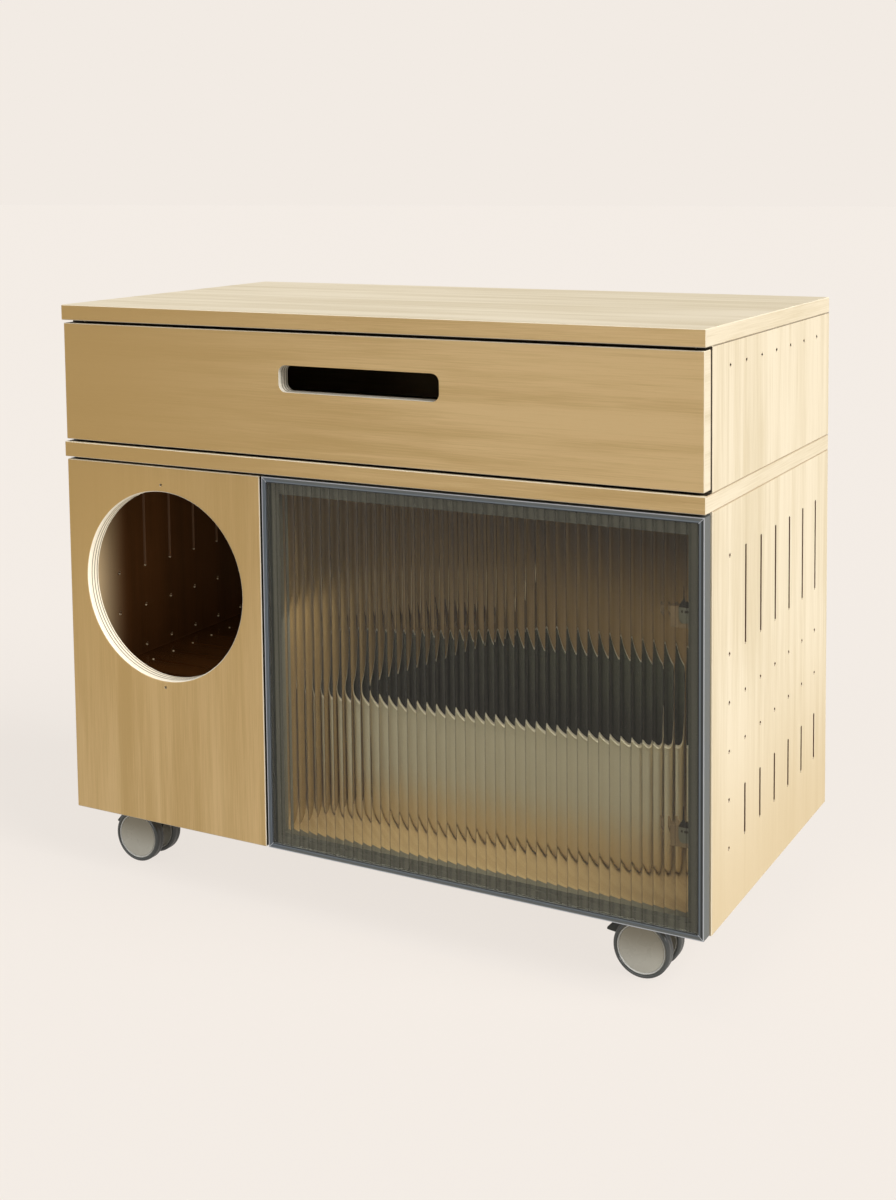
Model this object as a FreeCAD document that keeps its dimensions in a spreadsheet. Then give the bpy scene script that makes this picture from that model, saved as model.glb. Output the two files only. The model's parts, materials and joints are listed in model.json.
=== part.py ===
"""Cat litter box cabinet on four twin-wheel casters.

A plywood carcass holds a drawer over two bays: a raised, slotted deck behind a round entry
hole, and a litter tray behind a reeded-glass door in a mitred aluminium frame.
Millimetres. X runs to the right, Y to the back, Z up; the origin is on the floor, under the middle.
"""
import FreeCAD, Part
import math
import os
import Sketcher

doc = FreeCAD.newDocument("LitterCabinet")

# ---------------------------------------------------------------- driving sizes
SIZES = [
    ("width", 800.0, "over the top board, left to right"),
    ("depth", 421.6, "over the top board, front to back"),
    ("height", 680.7, "floor to the top face"),
    ("underside", 71.0, "floor to the carcass, which is the caster height"),
    ("board", 18.0, "carcass, front and divider boards"),
    ("back_board", 9.0, "back boards"),
    ("edge_break", 0.8, "chamfer on the edges of the boards"),
    ("drawer_bay", 144.5, "clear height of the drawer bay"),
    ("seat", 0.3, "seat of a piece that rests on another"),
    ("front_reveal", 1.5, "front boards behind the edges of top and middle board"),
    ("front_inset", 2.0, "front boards inside the sides"),
    ("front_gap", 3.0, "shadow gap round the fronts"),
    ("drawer_top_gap", 3.5, "shadow gap over the drawer front"),
    ("entry_width", 275.2, "entry board"),
    ("door_gap", 0.8, "door frame to carcass"),
    ("hole_margin", 26.6, "cat's entry hole from the board's sides"),
    ("hole_round", 2.0, "rounded rim of the entry hole"),
    ("hole_drop", 140.2, "centre of the entry hole under the board's top edge"),
    ("pin_gap", 8.2, "small holes over and under the entry hole's rim"),
    ("pin_radius", 1.8, "small holes"),
    ("pin_depth", 8.0, "small holes"),
    ("grip_length", 201.0, "finger slot in the drawer front"),
    ("grip_height", 30.0, "finger slot"),
    ("grip_corner", 9.0, "finger slot's corner radius"),
    ("grip_shift", 6.5, "finger slot off the middle, to the right"),
    ("grip_drop", 36.0, "finger slot under the drawer front's top edge"),
    ("vent_radius", 2.3, "vent slots and holes"),
    ("vent_low", 71.8, "lowest vent centre over the side board's lower edge"),
    ("vent_high", 53.8, "highest vent centre under the side board's upper edge"),
    ("vent_front", 69.3, "first vent column behind the face of the front boards"),
    ("vent_back", 50.8, "last vent column before the back"),
    ("vent_drop", 24.0, "upper vents under the top board"),
    ("deck_drop", 12.0, "raised deck's face under the entry hole"),
    ("deck_board", 12.0, "raised deck"),
    ("deck_margin", 25.5, "ends of the deck's slots from its sides"),
    ("deck_slot_radius", 3.0, "deck slots"),
    ("deck_first", 37.0, "first deck slot behind the carcass front"),
    ("deck_last", 35.8, "last deck slot before the back board"),
    ("cleat", 16.0, "square cleats under the deck"),
    ("passage_radius", 100.0, "round passage in the divider"),
    ("passage_behind", 116.8, "centre of the passage before the back board"),
    ("passage_drop", 148.2, "centre of the passage under the middle board"),
    ("drawer_side", 12.0, "drawer's side and back boards"),
    ("drawer_bottom", 6.0, "drawer's bottom"),
    ("drawer_length", 350.0, "drawer box, front to back"),
    ("drawer_height", 110.0, "drawer box"),
    ("drawer_lift", 8.0, "drawer box over the bay's floor"),
    ("groove_lift", 10.0, "bottom's groove over the side's edge"),
    ("groove_depth", 6.0, "bottom's groove"),
    ("groove_play", 0.1, "bottom in its groove"),
    ("runner_gap", 13.0, "drawer side to carcass side"),
    ("runner_half", 22.5, "half height of the outer runner member"),
    ("runner_sheet", 1.3, "runner steel"),
    ("runner_reach", 11.0, "outer member's flanges"),
    ("runner_play", 0.3, "between nested members"),
    ("frame_depth", 17.0, "door frame profile"),
    ("frame_lip", 6.0, "lip round the glass"),
    ("frame_flange", 13.0, "flange behind the glass"),
    ("frame_step", 6.0, "lip's front to the flange"),
    ("frame_line", 0.8, "fine line along the lip"),
    ("frame_line_in", 3.6, "fine line from the outer edge"),
    ("glass", 4.2, "pane over its ridges"),
    ("glass_play", 0.3, "pane in the lip"),
    ("flute_pitch", 11.73, "hollow flutes in the pane's face"),
    ("flute_depth", 1.55, "flutes"),
    ("flute_land", 0.4, "flat ridge between two flutes"),
    ("gasket", 1.0, "gasket between glass and flange"),
    ("gasket_wide", 8.0, "gasket"),
    ("hinge_up", 100.5, "lower hinge over the door's lower edge"),
    ("hinge_down", 102.2, "upper hinge under the door's upper edge"),
    ("axis_in", 2.0, "door's axis from its right edge"),
    ("axis_back", 1.8, "door's axis behind the frame's front"),
    ("arm_reach", 22.0, "arm pivot left of and behind the door's axis"),
    ("cup_in", 29.0, "cup pivot left of the door's axis"),
    ("cup_back", 12.5, "cup pivot behind the door's axis"),
    ("pin", 2.0, "radius of the hinge pins"),
    ("pin_play", 0.05, "pins in their bores"),
    ("link_thick", 2.0, "outer hinge links and the arm's ears"),
    ("crank_half", 3.0, "half height of the hinge crank"),
    ("layer_gap", 0.3, "between the layers of a hinge"),
    ("eye", 3.2, "radius of crank and link ends"),
    ("cup_half", 10.5, "half height of the hinge cup"),
    ("cup_side", 6.0, "hinge cup beyond its pin"),
    ("cup_wall", 2.0, "hinge cup's front wall"),
    ("arm_plate_half", 16.0, "half height of the arm's plate"),
    ("arm_plate_start", 14.0, "arm's plate behind the arm pivot"),
    ("arm_end", 56.0, "arm's end behind the arm pivot"),
    ("arm_web_start", 2.0, "arm's web before the arm pivot"),
    ("tray_left", 7.0, "tray's rim from the divider"),
    ("tray_right", 42.3, "tray's rim from the side board"),
    ("tray_back", 30.8, "tray's rim from the back board"),
    ("tray_height", 144.0, "tray"),
    ("tray_front", 61.0, "tray behind the carcass front"),
    ("tray_draft", 7.0, "tray's sides lean in by"),
    ("tray_corner", 45.0, "tray's corner radius"),
    ("tray_wall", 2.0, "tray"),
    ("tray_rim", 7.0, "tray's rim"),
    ("caster_side", 72.0, "caster axes from the sides"),
    ("caster_end", 62.3, "caster axes from front and back"),
    ("trail", 11.5, "axle behind the swivel"),
    ("wheel_radius", 31.5, "caster wheels"),
    ("wheel_width", 16.0, "caster wheels"),
    ("wheel_gap", 15.0, "between the two wheels"),
    ("tread", 4.4, "rubber ring"),
    ("tread_round", 2.4, "rubber ring's bevel"),
    ("hub_recess", 0.3, "disc inside the ring's faces"),
    ("disc_break", 1.0, "disc's bevel"),
    ("axle", 3.0, "axle radius"),
    ("axle_half", 20.0, "half of the axle"),
    ("play", 0.05, "running fit"),
    ("plate", 44.0, "caster plate"),
    ("plate_thick", 2.0, "caster plate"),
    ("kingpin", 4.0, "radius"),
    ("kingpin_length", 11.0, "under the plate"),
    ("fork_radius", 17.0, "swivel head"),
    ("fork_head", 4.7, "swivel head"),
    ("neck_gap", 0.7, "swivel neck to the wheels"),
    ("neck_length", 11.0, "swivel neck under the head"),
    ("web", 7.0, "between the wheels"),
    ("pedal_pivot_x", 15.0, "brake pivot from the swivel axis"),
    ("pedal_pivot_z", 51.0, "brake pivot over the floor"),
    ("pedal_pin", 1.8, "brake pin's radius"),
    ("pedal_half", 6.0, "half width of the pedal"),
    ("pedal_pin_end", 0.2, "brake pin out of the pedal's ears"),
    ("pedal_slot", 10.0, "pedal's slot from its pivot"),
    ("screw_head", 3.5, "radius of the plate's screw heads"),
    ("screw_rise", 1.8, "screw heads"),
]

sheet = doc.addObject("Spreadsheet::Sheet", "Sizes")
for row, (alias, value, note) in enumerate(SIZES, start=1):
    sheet.set(f"A{row}", note)
    sheet.set(f"B{row}", str(value))
    sheet.setAlias(f"B{row}", alias)
doc.recompute()


def size(expression):
    """The present value of an expression on the sheet's cells."""
    return float(sheet.evalExpression(expression))


# ---------------------------------------------------------------- shared levels and places
HALF = "Sizes.width / 2"
FRONT = "-Sizes.depth / 2"
BACK = "Sizes.depth / 2"
INNER = "(Sizes.width / 2 - Sizes.board)"
TOP_LOW = "(Sizes.height - Sizes.board)"
BAY_LOW = f"({TOP_LOW} - Sizes.drawer_bay)"
MID_LOW = f"({BAY_LOW} - Sizes.board)"
BASE_TOP = "(Sizes.underside + Sizes.board)"
FACE = f"({FRONT} + Sizes.front_reveal)"
FACE_BACK = f"({FACE} + Sizes.board)"
CARCASS = f"({FACE_BACK} + Sizes.seat)"
BACK_IN = f"({BACK} - Sizes.back_board)"
FRONT_LEFT = f"(Sizes.front_inset - {HALF})"
FRONT_RIGHT = f"({HALF} - Sizes.front_inset)"
ENTRY_RIGHT = f"({FRONT_LEFT} + Sizes.entry_width)"
DOOR_LEFT = f"({ENTRY_RIGHT} + Sizes.front_gap)"
DOOR_TOP = f"({MID_LOW} - Sizes.front_gap)"
DOOR_LOW = "(Sizes.underside + Sizes.front_reveal)"
DIVIDER_MID = f"({ENTRY_RIGHT} + Sizes.front_gap / 2)"
DIVIDER_LEFT = f"({DIVIDER_MID} - Sizes.board / 2)"
DIVIDER_RIGHT = f"({DIVIDER_MID} + Sizes.board / 2)"
HOLE_RADIUS = "(Sizes.entry_width / 2 - Sizes.hole_margin)"
HOLE_MID = f"({DOOR_TOP} - Sizes.hole_drop)"
DECK_TOP = f"({HOLE_MID} - {HOLE_RADIUS} - Sizes.deck_drop)"
DECK_LOW = f"({DECK_TOP} - Sizes.deck_board)"
FRAME_BACK = f"({CARCASS} - Sizes.door_gap)"
FRAME_FRONT = f"({FRAME_BACK} - Sizes.frame_depth)"
FLANGE_FRONT = f"({FRAME_FRONT} + Sizes.frame_step)"
DRAWER_OUT = f"({INNER} - Sizes.runner_gap)"
DRAWER_IN = f"({DRAWER_OUT} - Sizes.drawer_side)"
DRAWER_LOW = f"({BAY_LOW} + Sizes.drawer_lift)"
DRAWER_END = f"({FACE_BACK} + Sizes.drawer_length)"
GROOVE_LOW = f"({DRAWER_LOW} + Sizes.groove_lift)"

# ---------------------------------------------------------------- drawing helpers
PLANES = {"XY": "XY_Plane", "XZ": "XZ_Plane", "YZ": "YZ_Plane"}


def new_body(name):
    """An empty body whose label names the node."""
    body = doc.addObject("PartDesign::Body", name)
    body.Label = name
    return body


def new_sketch(body, name, plane, level):
    """A sketch on one of the body's own planes, moved to the level along that plane's axis."""
    sketch = body.newObject("Sketcher::SketchObject", name)
    origin = [feature for feature in body.Origin.OriginFeatures if feature.Role == PLANES[plane]]
    sketch.AttachmentSupport = (origin[0], [""])
    sketch.MapMode = "FlatFace"
    sign = "-" if plane == "XZ" else ""
    sketch.setExpression("AttachmentOffset.Base.z", f"{sign}({level})")
    return sketch


def bind(sketch, kind, items, expression):
    """One driving dimension of a sketch, tied to the sheet."""
    index = sketch.addConstraint(Sketcher.Constraint(kind, *items, size(expression)))
    sketch.setExpression(f"Constraints[{index}]", expression)


def pin_point(sketch, geometry, point, place):
    """Both coordinates of a point, from the sketch's origin."""
    bind(sketch, "DistanceX", (-1, 1, geometry, point), place[0])
    bind(sketch, "DistanceY", (-1, 1, geometry, point), place[1])


def polygon(sketch, points):
    """A closed outline of straight lines through the points."""
    places = [FreeCAD.Vector(size(u), size(v), 0) for u, v in points]
    count = len(points)
    first = sketch.GeometryCount
    for index in range(count):
        sketch.addGeometry(Part.LineSegment(places[index], places[(index + 1) % count]))
    for index in range(count):
        after = first + (index + 1) % count
        sketch.addConstraint(Sketcher.Constraint("Coincident", first + index, 2, after, 1))
    for index, point in enumerate(points):
        pin_point(sketch, first + index, 1, point)


def rectangle(sketch, across, along):
    """A rectangle between two pairs of limits."""
    (left, right), (low, high) = across, along
    polygon(sketch, [(left, low), (right, low), (right, high), (left, high)])


def circle(sketch, centre, radius):
    """A circle."""
    middle = FreeCAD.Vector(size(centre[0]), size(centre[1]), 0)
    index = sketch.addGeometry(Part.Circle(middle, FreeCAD.Vector(0, 0, 1), size(radius)))
    pin_point(sketch, index, 3, centre)
    bind(sketch, "Radius", (index,), radius)


def arc(sketch, centre, radius, start, end):
    """An arc between two angles in degrees; returns its index."""
    ring = Part.Circle(centre, FreeCAD.Vector(0, 0, 1), radius)
    return sketch.addGeometry(Part.ArcOfCircle(ring, math.radians(start), math.radians(end)))


def slot(sketch, low, high, radius):
    """A slot with round ends between two centres that share a coordinate."""
    a = FreeCAD.Vector(size(low[0]), size(low[1]), 0)
    b = FreeCAD.Vector(size(high[0]), size(high[1]), 0)
    r = size(radius)
    run = (b - a).normalize()
    side = FreeCAD.Vector(run.y, -run.x, 0)
    turn = math.degrees(math.atan2(side.y, side.x))
    near = arc(sketch, a, r, turn + 180, turn + 360)
    far = arc(sketch, b, r, turn, turn + 180)
    right = sketch.addGeometry(Part.LineSegment(a + side * r, b + side * r))
    left = sketch.addGeometry(Part.LineSegment(b - side * r, a - side * r))
    for one, its_end, other, other_end in ((near, 2, right, 1), (right, 2, far, 1),
                                           (far, 2, left, 1), (left, 2, near, 1)):
        sketch.addConstraint(Sketcher.Constraint("Tangent", one, its_end, other, other_end))
    pin_point(sketch, near, 3, low)
    pin_point(sketch, far, 3, high)
    bind(sketch, "Radius", (near,), radius)


def rounded_rectangle(sketch, across, along, radius):
    """A rectangle with four equal round corners."""
    (left, right), (low, high) = across, along
    x0, x1, y0, y1 = (size(value) for value in (left, right, low, high))
    r = size(radius)
    corners = [(x1 - r, y0 + r, -90), (x1 - r, y1 - r, 0), (x0 + r, y1 - r, 90), (x0 + r, y0 + r, 180)]
    arcs = [arc(sketch, FreeCAD.Vector(x, y, 0), r, turn, turn + 90) for x, y, turn in corners]
    ends = [(x0 + r, y0, x1 - r, y0), (x1, y0 + r, x1, y1 - r),
            (x1 - r, y1, x0 + r, y1), (x0, y1 - r, x0, y0 + r)]
    lines = []
    for ax, ay, bx, by in ends:
        segment = Part.LineSegment(FreeCAD.Vector(ax, ay, 0), FreeCAD.Vector(bx, by, 0))
        lines.append(sketch.addGeometry(segment))
    for index in range(4):
        sketch.addConstraint(Sketcher.Constraint("Tangent", lines[index], 2, arcs[index], 1))
        sketch.addConstraint(Sketcher.Constraint("Tangent", arcs[index], 2, lines[(index + 1) % 4], 1))
    for index in range(3):
        sketch.addConstraint(Sketcher.Constraint("Equal", arcs[index], arcs[index + 1]))
    sketch.addConstraint(Sketcher.Constraint("Horizontal", lines[0]))
    sketch.addConstraint(Sketcher.Constraint("Vertical", lines[1]))
    bind(sketch, "Radius", (arcs[0],), radius)
    bind(sketch, "DistanceY", (-1, 1, lines[0], 1), low)
    bind(sketch, "DistanceX", (-1, 1, lines[1], 1), right)
    bind(sketch, "DistanceY", (-1, 1, lines[2], 1), high)
    bind(sketch, "DistanceX", (-1, 1, lines[3], 1), left)


def pad(body, plane, draw, start, end):
    """Material between two levels of the plane's axis, outlined by draw(sketch)."""
    level = end if plane == "XZ" else start
    sketch = new_sketch(body, f"{body.Name}_outline", plane, level)
    draw(sketch)
    feature = body.newObject("PartDesign::Pad", f"{body.Name}_pad")
    feature.Profile = sketch
    feature.setExpression("Length", f"({end}) - ({start})")
    sketch.Visibility = False
    doc.recompute()
    return feature


def cut(body, plane, draw, start, end):
    """Removes what draw(sketch) outlines between two levels of the plane's axis."""
    level = start if plane == "XZ" else end
    before = body.Shape.Volume
    sketch = new_sketch(body, f"{body.Name}_cutout", plane, level)
    draw(sketch)
    feature = body.newObject("PartDesign::Pocket", f"{body.Name}_pocket")
    feature.Profile = sketch
    feature.setExpression("Length", f"({end}) - ({start})")
    doc.recompute()
    if body.Shape.Volume >= before:
        raise RuntimeError(f"{feature.Name} removes nothing")
    return feature


def repeat(body, feature, axis, pitch, count):
    """Copies a feature in a straight row along an axis of its sketch."""
    pattern = body.newObject("PartDesign::LinearPattern", f"{feature.Name}_row")
    pattern.Originals = [feature]
    pattern.Direction = (feature.Profile[0], [axis])
    pattern.Occurrences = count
    pattern.setExpression("Length", f"({pitch}) * {count - 1}")
    body.Tip = pattern
    doc.recompute()
    return pattern


def break_edges(body, feature, amount):
    """A small chamfer on every edge of the body so far."""
    chamfer = body.newObject("PartDesign::Chamfer", f"{body.Name}_edges")
    chamfer.Base = (feature, ["Edge1"])
    chamfer.UseAllEdges = True
    chamfer.setExpression("Size", amount)
    doc.recompute()
    return chamfer


def board(name, x, y, z, grain="XY"):
    """A plain board between three pairs of limits, with its edges broken."""
    body = new_body(name)
    limits = {"XY": (x, y, z), "XZ": (x, z, y), "YZ": (y, z, x)}[grain]
    feature = pad(body, grain, lambda sketch: rectangle(sketch, limits[0], limits[1]), *limits[2])
    break_edges(body, feature, "Sizes.edge_break")
    return body


def block(name, x, y, z):
    """A box primitive between three pairs of limits."""
    solid = doc.addObject("Part::Box", name)
    for length, place, (low, high) in zip(("Length", "Width", "Height"), ("x", "y", "z"), (x, y, z)):
        solid.setExpression(length, f"({high}) - ({low})")
        solid.setExpression(f"Placement.Base.{place}", low)
    return solid


def rod(name, centre, radius, low, high, axis="Z"):
    """A cylinder primitive along Z or Y through a centre given by its other two coordinates."""
    solid = doc.addObject("Part::Cylinder", name)
    solid.setExpression("Radius", radius)
    solid.setExpression("Height", f"({high}) - ({low})")
    if axis == "Z":
        places = (centre[0], centre[1], low)
    else:
        solid.Placement.Rotation = FreeCAD.Rotation(FreeCAD.Vector(1, 0, 0), -90)
        places = (centre[0], low, centre[1])
    for coordinate, place in zip("xyz", places):
        solid.setExpression(f"Placement.Base.{coordinate}", place)
    return solid


def fuse(name, shapes):
    """One solid from touching or crossing ones."""
    joined = doc.addObject("Part::MultiFuse", name)
    joined.Shapes = shapes
    return joined


def subtract(name, base, tool):
    """A solid less another."""
    result = doc.addObject("Part::Cut", name)
    result.Base = base
    result.Tool = tool
    return result


def group(name, shapes):
    """Equal pieces kept side by side in one node."""
    result = doc.addObject("Part::Compound", name)
    result.Links = shapes
    return result


NODES = []


def node(piece):
    """Marks a finished piece as a node of the model; its label names its file."""
    piece.Label = piece.Name
    NODES.append(piece)
    return piece


# ---------------------------------------------------------------- carcass
def carcass():
    """Top, middle and bottom boards, the four sides and the two backs."""
    full = (f"-{HALF}", HALF)
    inside = (f"-{INNER}", INNER)
    node(board("top_panel", full, (FRONT, BACK), (TOP_LOW, "Sizes.height")))
    node(board("mid_panel", full, (FRONT, BACK), (MID_LOW, BAY_LOW)))
    node(board("bottom_panel", inside, (CARCASS, BACK), ("Sizes.underside", BASE_TOP)))
    node(board("back_upper", inside, (BACK_IN, BACK), (BAY_LOW, TOP_LOW), "XZ"))
    node(board("back_lower", inside, (BACK_IN, BACK), (BASE_TOP, MID_LOW), "XZ"))
    for side, outer in (("left", (f"-{HALF}", f"-{INNER}")), ("right", (INNER, HALF))):
        upper = board(f"side_upper_{side}", outer, (CARCASS, BACK), (BAY_LOW, TOP_LOW), "YZ")
        upper_vents(upper, outer)
        lower = board(f"side_lower_{side}", outer, (CARCASS, BACK), ("Sizes.underside", MID_LOW), "YZ")
        lower_vents(lower, outer)
        node(upper)
        node(lower)


FIRST_COLUMN = f"({FACE} + Sizes.vent_front)"
LAST_COLUMN = f"({BACK} - Sizes.vent_back)"
COLUMN_SPAN = 6
COLUMN_PITCH = f"(({LAST_COLUMN} - {FIRST_COLUMN}) / {COLUMN_SPAN})"
SECOND_COLUMN = f"({FIRST_COLUMN} + {COLUMN_PITCH})"
LOW_ROW = "(Sizes.underside + Sizes.vent_low)"
ROW_SPAN = 6
ROW_PITCH = f"(({MID_LOW} - Sizes.vent_high - {LOW_ROW}) / {ROW_SPAN})"


def vent_row(step):
    """Height of a row of the vent grid."""
    return f"({LOW_ROW} + {step} * {ROW_PITCH})"


def upper_vents(body, through):
    """One row of small holes along the top of the drawer bay."""
    height = f"({TOP_LOW} - Sizes.vent_drop)"
    hole = cut(body, "YZ", lambda sketch: circle(sketch, (FIRST_COLUMN, height), "Sizes.vent_radius"),
               *through)
    repeat(body, hole, "H_Axis", COLUMN_PITCH, COLUMN_SPAN + 1)


def lower_vents(body, through):
    """A front column of holes, then columns of slot, two holes and slot."""
    def front_column(sketch):
        for step in (0, 1, 2, 3, 4, 6):
            circle(sketch, (FIRST_COLUMN, vent_row(step)), "Sizes.vent_radius")

    def slotted_column(sketch):
        slot(sketch, (SECOND_COLUMN, vent_row(0)), (SECOND_COLUMN, vent_row(1)), "Sizes.vent_radius")
        circle(sketch, (SECOND_COLUMN, vent_row(2)), "Sizes.vent_radius")
        circle(sketch, (SECOND_COLUMN, vent_row(3)), "Sizes.vent_radius")
        slot(sketch, (SECOND_COLUMN, vent_row(4)), (SECOND_COLUMN, vent_row(6)), "Sizes.vent_radius")

    cut(body, "YZ", front_column, *through)
    column = cut(body, "YZ", slotted_column, *through)
    repeat(body, column, "H_Axis", COLUMN_PITCH, COLUMN_SPAN)


# ---------------------------------------------------------------- entry bay
DECK_SPAN = 8


def entry_bay():
    """Divider with its round passage, entry board with the cat's hole, and the raised deck."""
    divider = board("divider_panel", (DIVIDER_LEFT, DIVIDER_RIGHT), (CARCASS, BACK_IN),
                    (BASE_TOP, MID_LOW), "YZ")
    passage = (f"({BACK_IN} - Sizes.passage_behind)", f"({MID_LOW} - Sizes.passage_drop)")
    cut(divider, "YZ", lambda sketch: circle(sketch, passage, "Sizes.passage_radius"),
        DIVIDER_LEFT, DIVIDER_RIGHT)
    node(divider)

    entry = board("entry_panel", (FRONT_LEFT, ENTRY_RIGHT), (FACE, FACE_BACK), (DOOR_LOW, DOOR_TOP), "XZ")
    middle = f"(({FRONT_LEFT} + {ENTRY_RIGHT}) / 2)"
    cut(entry, "XZ", lambda sketch: circle(sketch, (middle, HOLE_MID), HOLE_RADIUS), FACE, FACE_BACK)
    round_rim(entry)

    def small_holes(sketch):
        circle(sketch, (middle, f"({HOLE_MID} + {HOLE_RADIUS} + Sizes.pin_gap)"), "Sizes.pin_radius")
        circle(sketch, (middle, f"({HOLE_MID} - {HOLE_RADIUS} - Sizes.pin_gap)"), "Sizes.pin_radius")

    cut(entry, "XZ", small_holes, FACE, f"({FACE} + Sizes.pin_depth)")
    node(entry)

    deck_right = f"({DIVIDER_LEFT} - Sizes.seat)"
    deck_left = f"(Sizes.seat - {INNER})"
    deck_front = f"({CARCASS} + Sizes.seat)"
    deck = board("entry_deck", (deck_left, deck_right), (deck_front, f"({BACK_IN} - Sizes.seat)"),
                 (DECK_LOW, DECK_TOP))
    end = "(Sizes.deck_margin + Sizes.deck_slot_radius)"
    first = f"({CARCASS} + Sizes.deck_first)"
    pitch = f"(({BACK_IN} - Sizes.deck_last - {first}) / {DECK_SPAN})"
    opening = cut(deck, "XY", lambda sketch: slot(sketch, (f"({deck_left} + {end})", first),
                                                  (f"({deck_right} - {end})", first),
                                                  "Sizes.deck_slot_radius"),
                  DECK_LOW, DECK_TOP)
    repeat(deck, opening, "V_Axis", pitch, DECK_SPAN + 1)
    node(deck)

    along = (deck_front, f"({BACK_IN} - Sizes.seat)")
    under = (f"({DECK_LOW} - Sizes.cleat)", DECK_LOW)
    left = block("cleat_left", (f"-{INNER}", f"(Sizes.cleat - {INNER})"), along, under)
    right = block("cleat_right", (f"({DIVIDER_LEFT} - Sizes.cleat)", DIVIDER_LEFT), along, under)
    node(group("deck_cleats", [left, right]))


def round_rim(body):
    """Rounds the front rim of the round hole."""
    plane = size(FACE)
    radius = size(HOLE_RADIUS)
    names = []
    for index, edge in enumerate(body.Tip.Shape.Edges, start=1):
        bounds = edge.BoundBox
        round_edge = edge.Curve.TypeId == "Part::GeomCircle" and bounds.XLength > 1.9 * radius
        if round_edge and abs(bounds.YMin - plane) < 0.01:
            names.append(f"Edge{index}")
    last = body.Tip
    fillet = body.newObject("PartDesign::Fillet", f"{body.Name}_rim")
    fillet.Base = (last, names)
    fillet.setExpression("Radius", "Sizes.hole_round")
    doc.recompute()


# ---------------------------------------------------------------- drawer
def drawer():
    """Front with its finger slot, box of four boards, and the bottom in its grooves."""
    front = board("drawer_front", (FRONT_LEFT, FRONT_RIGHT), (FACE, FACE_BACK),
                  (f"({BAY_LOW} + Sizes.front_gap)", f"({TOP_LOW} - Sizes.drawer_top_gap)"), "XZ")
    grip_top = f"({TOP_LOW} - Sizes.drawer_top_gap - Sizes.grip_drop)"
    across = ("(Sizes.grip_shift - Sizes.grip_length / 2)", "(Sizes.grip_shift + Sizes.grip_length / 2)")
    cut(front, "XZ", lambda sketch: rounded_rectangle(sketch, across,
                                                      (f"({grip_top} - Sizes.grip_height)", grip_top),
                                                      "Sizes.grip_corner"), FACE, FACE_BACK)
    node(front)

    tall = (DRAWER_LOW, f"({DRAWER_LOW} + Sizes.drawer_height)")
    groove_high = f"({GROOVE_LOW} + Sizes.drawer_bottom + 2 * Sizes.groove_play)"
    for side, sign in (("left", "-"), ("right", "")):
        outer = f"{sign}{DRAWER_OUT}"
        inner = f"{sign}{DRAWER_IN}"
        floor = f"{sign}({DRAWER_IN} + Sizes.groove_depth)"
        limits = (outer, inner) if sign else (inner, outer)
        groove = (floor, inner) if sign else (inner, floor)
        wall = board(f"drawer_side_{side}", limits, (FACE_BACK, DRAWER_END), tall, "YZ")
        cut(wall, "YZ", lambda sketch: rectangle(sketch, (FACE_BACK, DRAWER_END), (GROOVE_LOW, groove_high)),
            *groove)
        node(wall)
    node(board("drawer_back", (f"-{DRAWER_IN}", DRAWER_IN), (f"({DRAWER_END} - Sizes.drawer_side)", DRAWER_END),
               (groove_high, tall[1]), "XZ"))
    reach = f"({DRAWER_IN} + Sizes.groove_depth - Sizes.groove_play)"
    low = f"({GROOVE_LOW} + Sizes.groove_play)"
    sheet_of_ply = new_body("drawer_bottom")
    pad(sheet_of_ply, "XY", lambda sketch: rectangle(sketch, (f"-{reach}", reach), (FACE_BACK, DRAWER_END)),
        low, f"({low} + Sizes.drawer_bottom)")
    node(sheet_of_ply)


def runners():
    """Three nested steel channels on each side of the drawer."""
    middle = f"({DRAWER_LOW} + Sizes.drawer_height / 2)"
    front = f"({CARCASS} + 1)"
    back = f"({CARCASS} + Sizes.drawer_length)"
    step = "(Sizes.runner_sheet + Sizes.runner_play)"

    def channel(name, sign, web, reach, half):
        """A C section from its web to its flange ends, both measured from the carcass side."""
        body = new_body(name)
        inward = 1 if size(reach) > size(web) else -1
        sheet_in = f"({web} + {inward} * Sizes.runner_sheet)"
        lip = f"({half} - Sizes.runner_sheet)"
        outline = [(web, f"-{half}"), (reach, f"-{half}"), (reach, f"-{lip}"), (sheet_in, f"-{lip}"),
                   (sheet_in, lip), (reach, lip), (reach, half), (web, half)]
        points = [(f"{sign}({INNER} - {u})", f"({middle} + {v})".replace("+ -", "- ")) for u, v in outline]
        pad(body, "XZ", lambda sketch: polygon(sketch, points), front, back)
        return body

    half_mid = f"(Sizes.runner_half - {step})"
    half_in = f"(Sizes.runner_half - 2 * {step})"
    members = {"runner_cabinet": [], "runner_middle": [], "runner_drawer": []}
    for side, sign in (("left", "-"), ("right", "")):
        members["runner_cabinet"].append(
            channel(f"outer_{side}", sign, "0", "Sizes.runner_reach", "Sizes.runner_half"))
        members["runner_middle"].append(
            channel(f"middle_{side}", sign, step, "(Sizes.runner_reach - 2 * Sizes.runner_play)", half_mid))
        members["runner_drawer"].append(
            channel(f"inner_{side}", sign, "Sizes.runner_gap",
                    "(3 * Sizes.runner_play + 2 * Sizes.runner_sheet)", half_in))
    for name, pair in members.items():
        node(group(name, pair))


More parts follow.
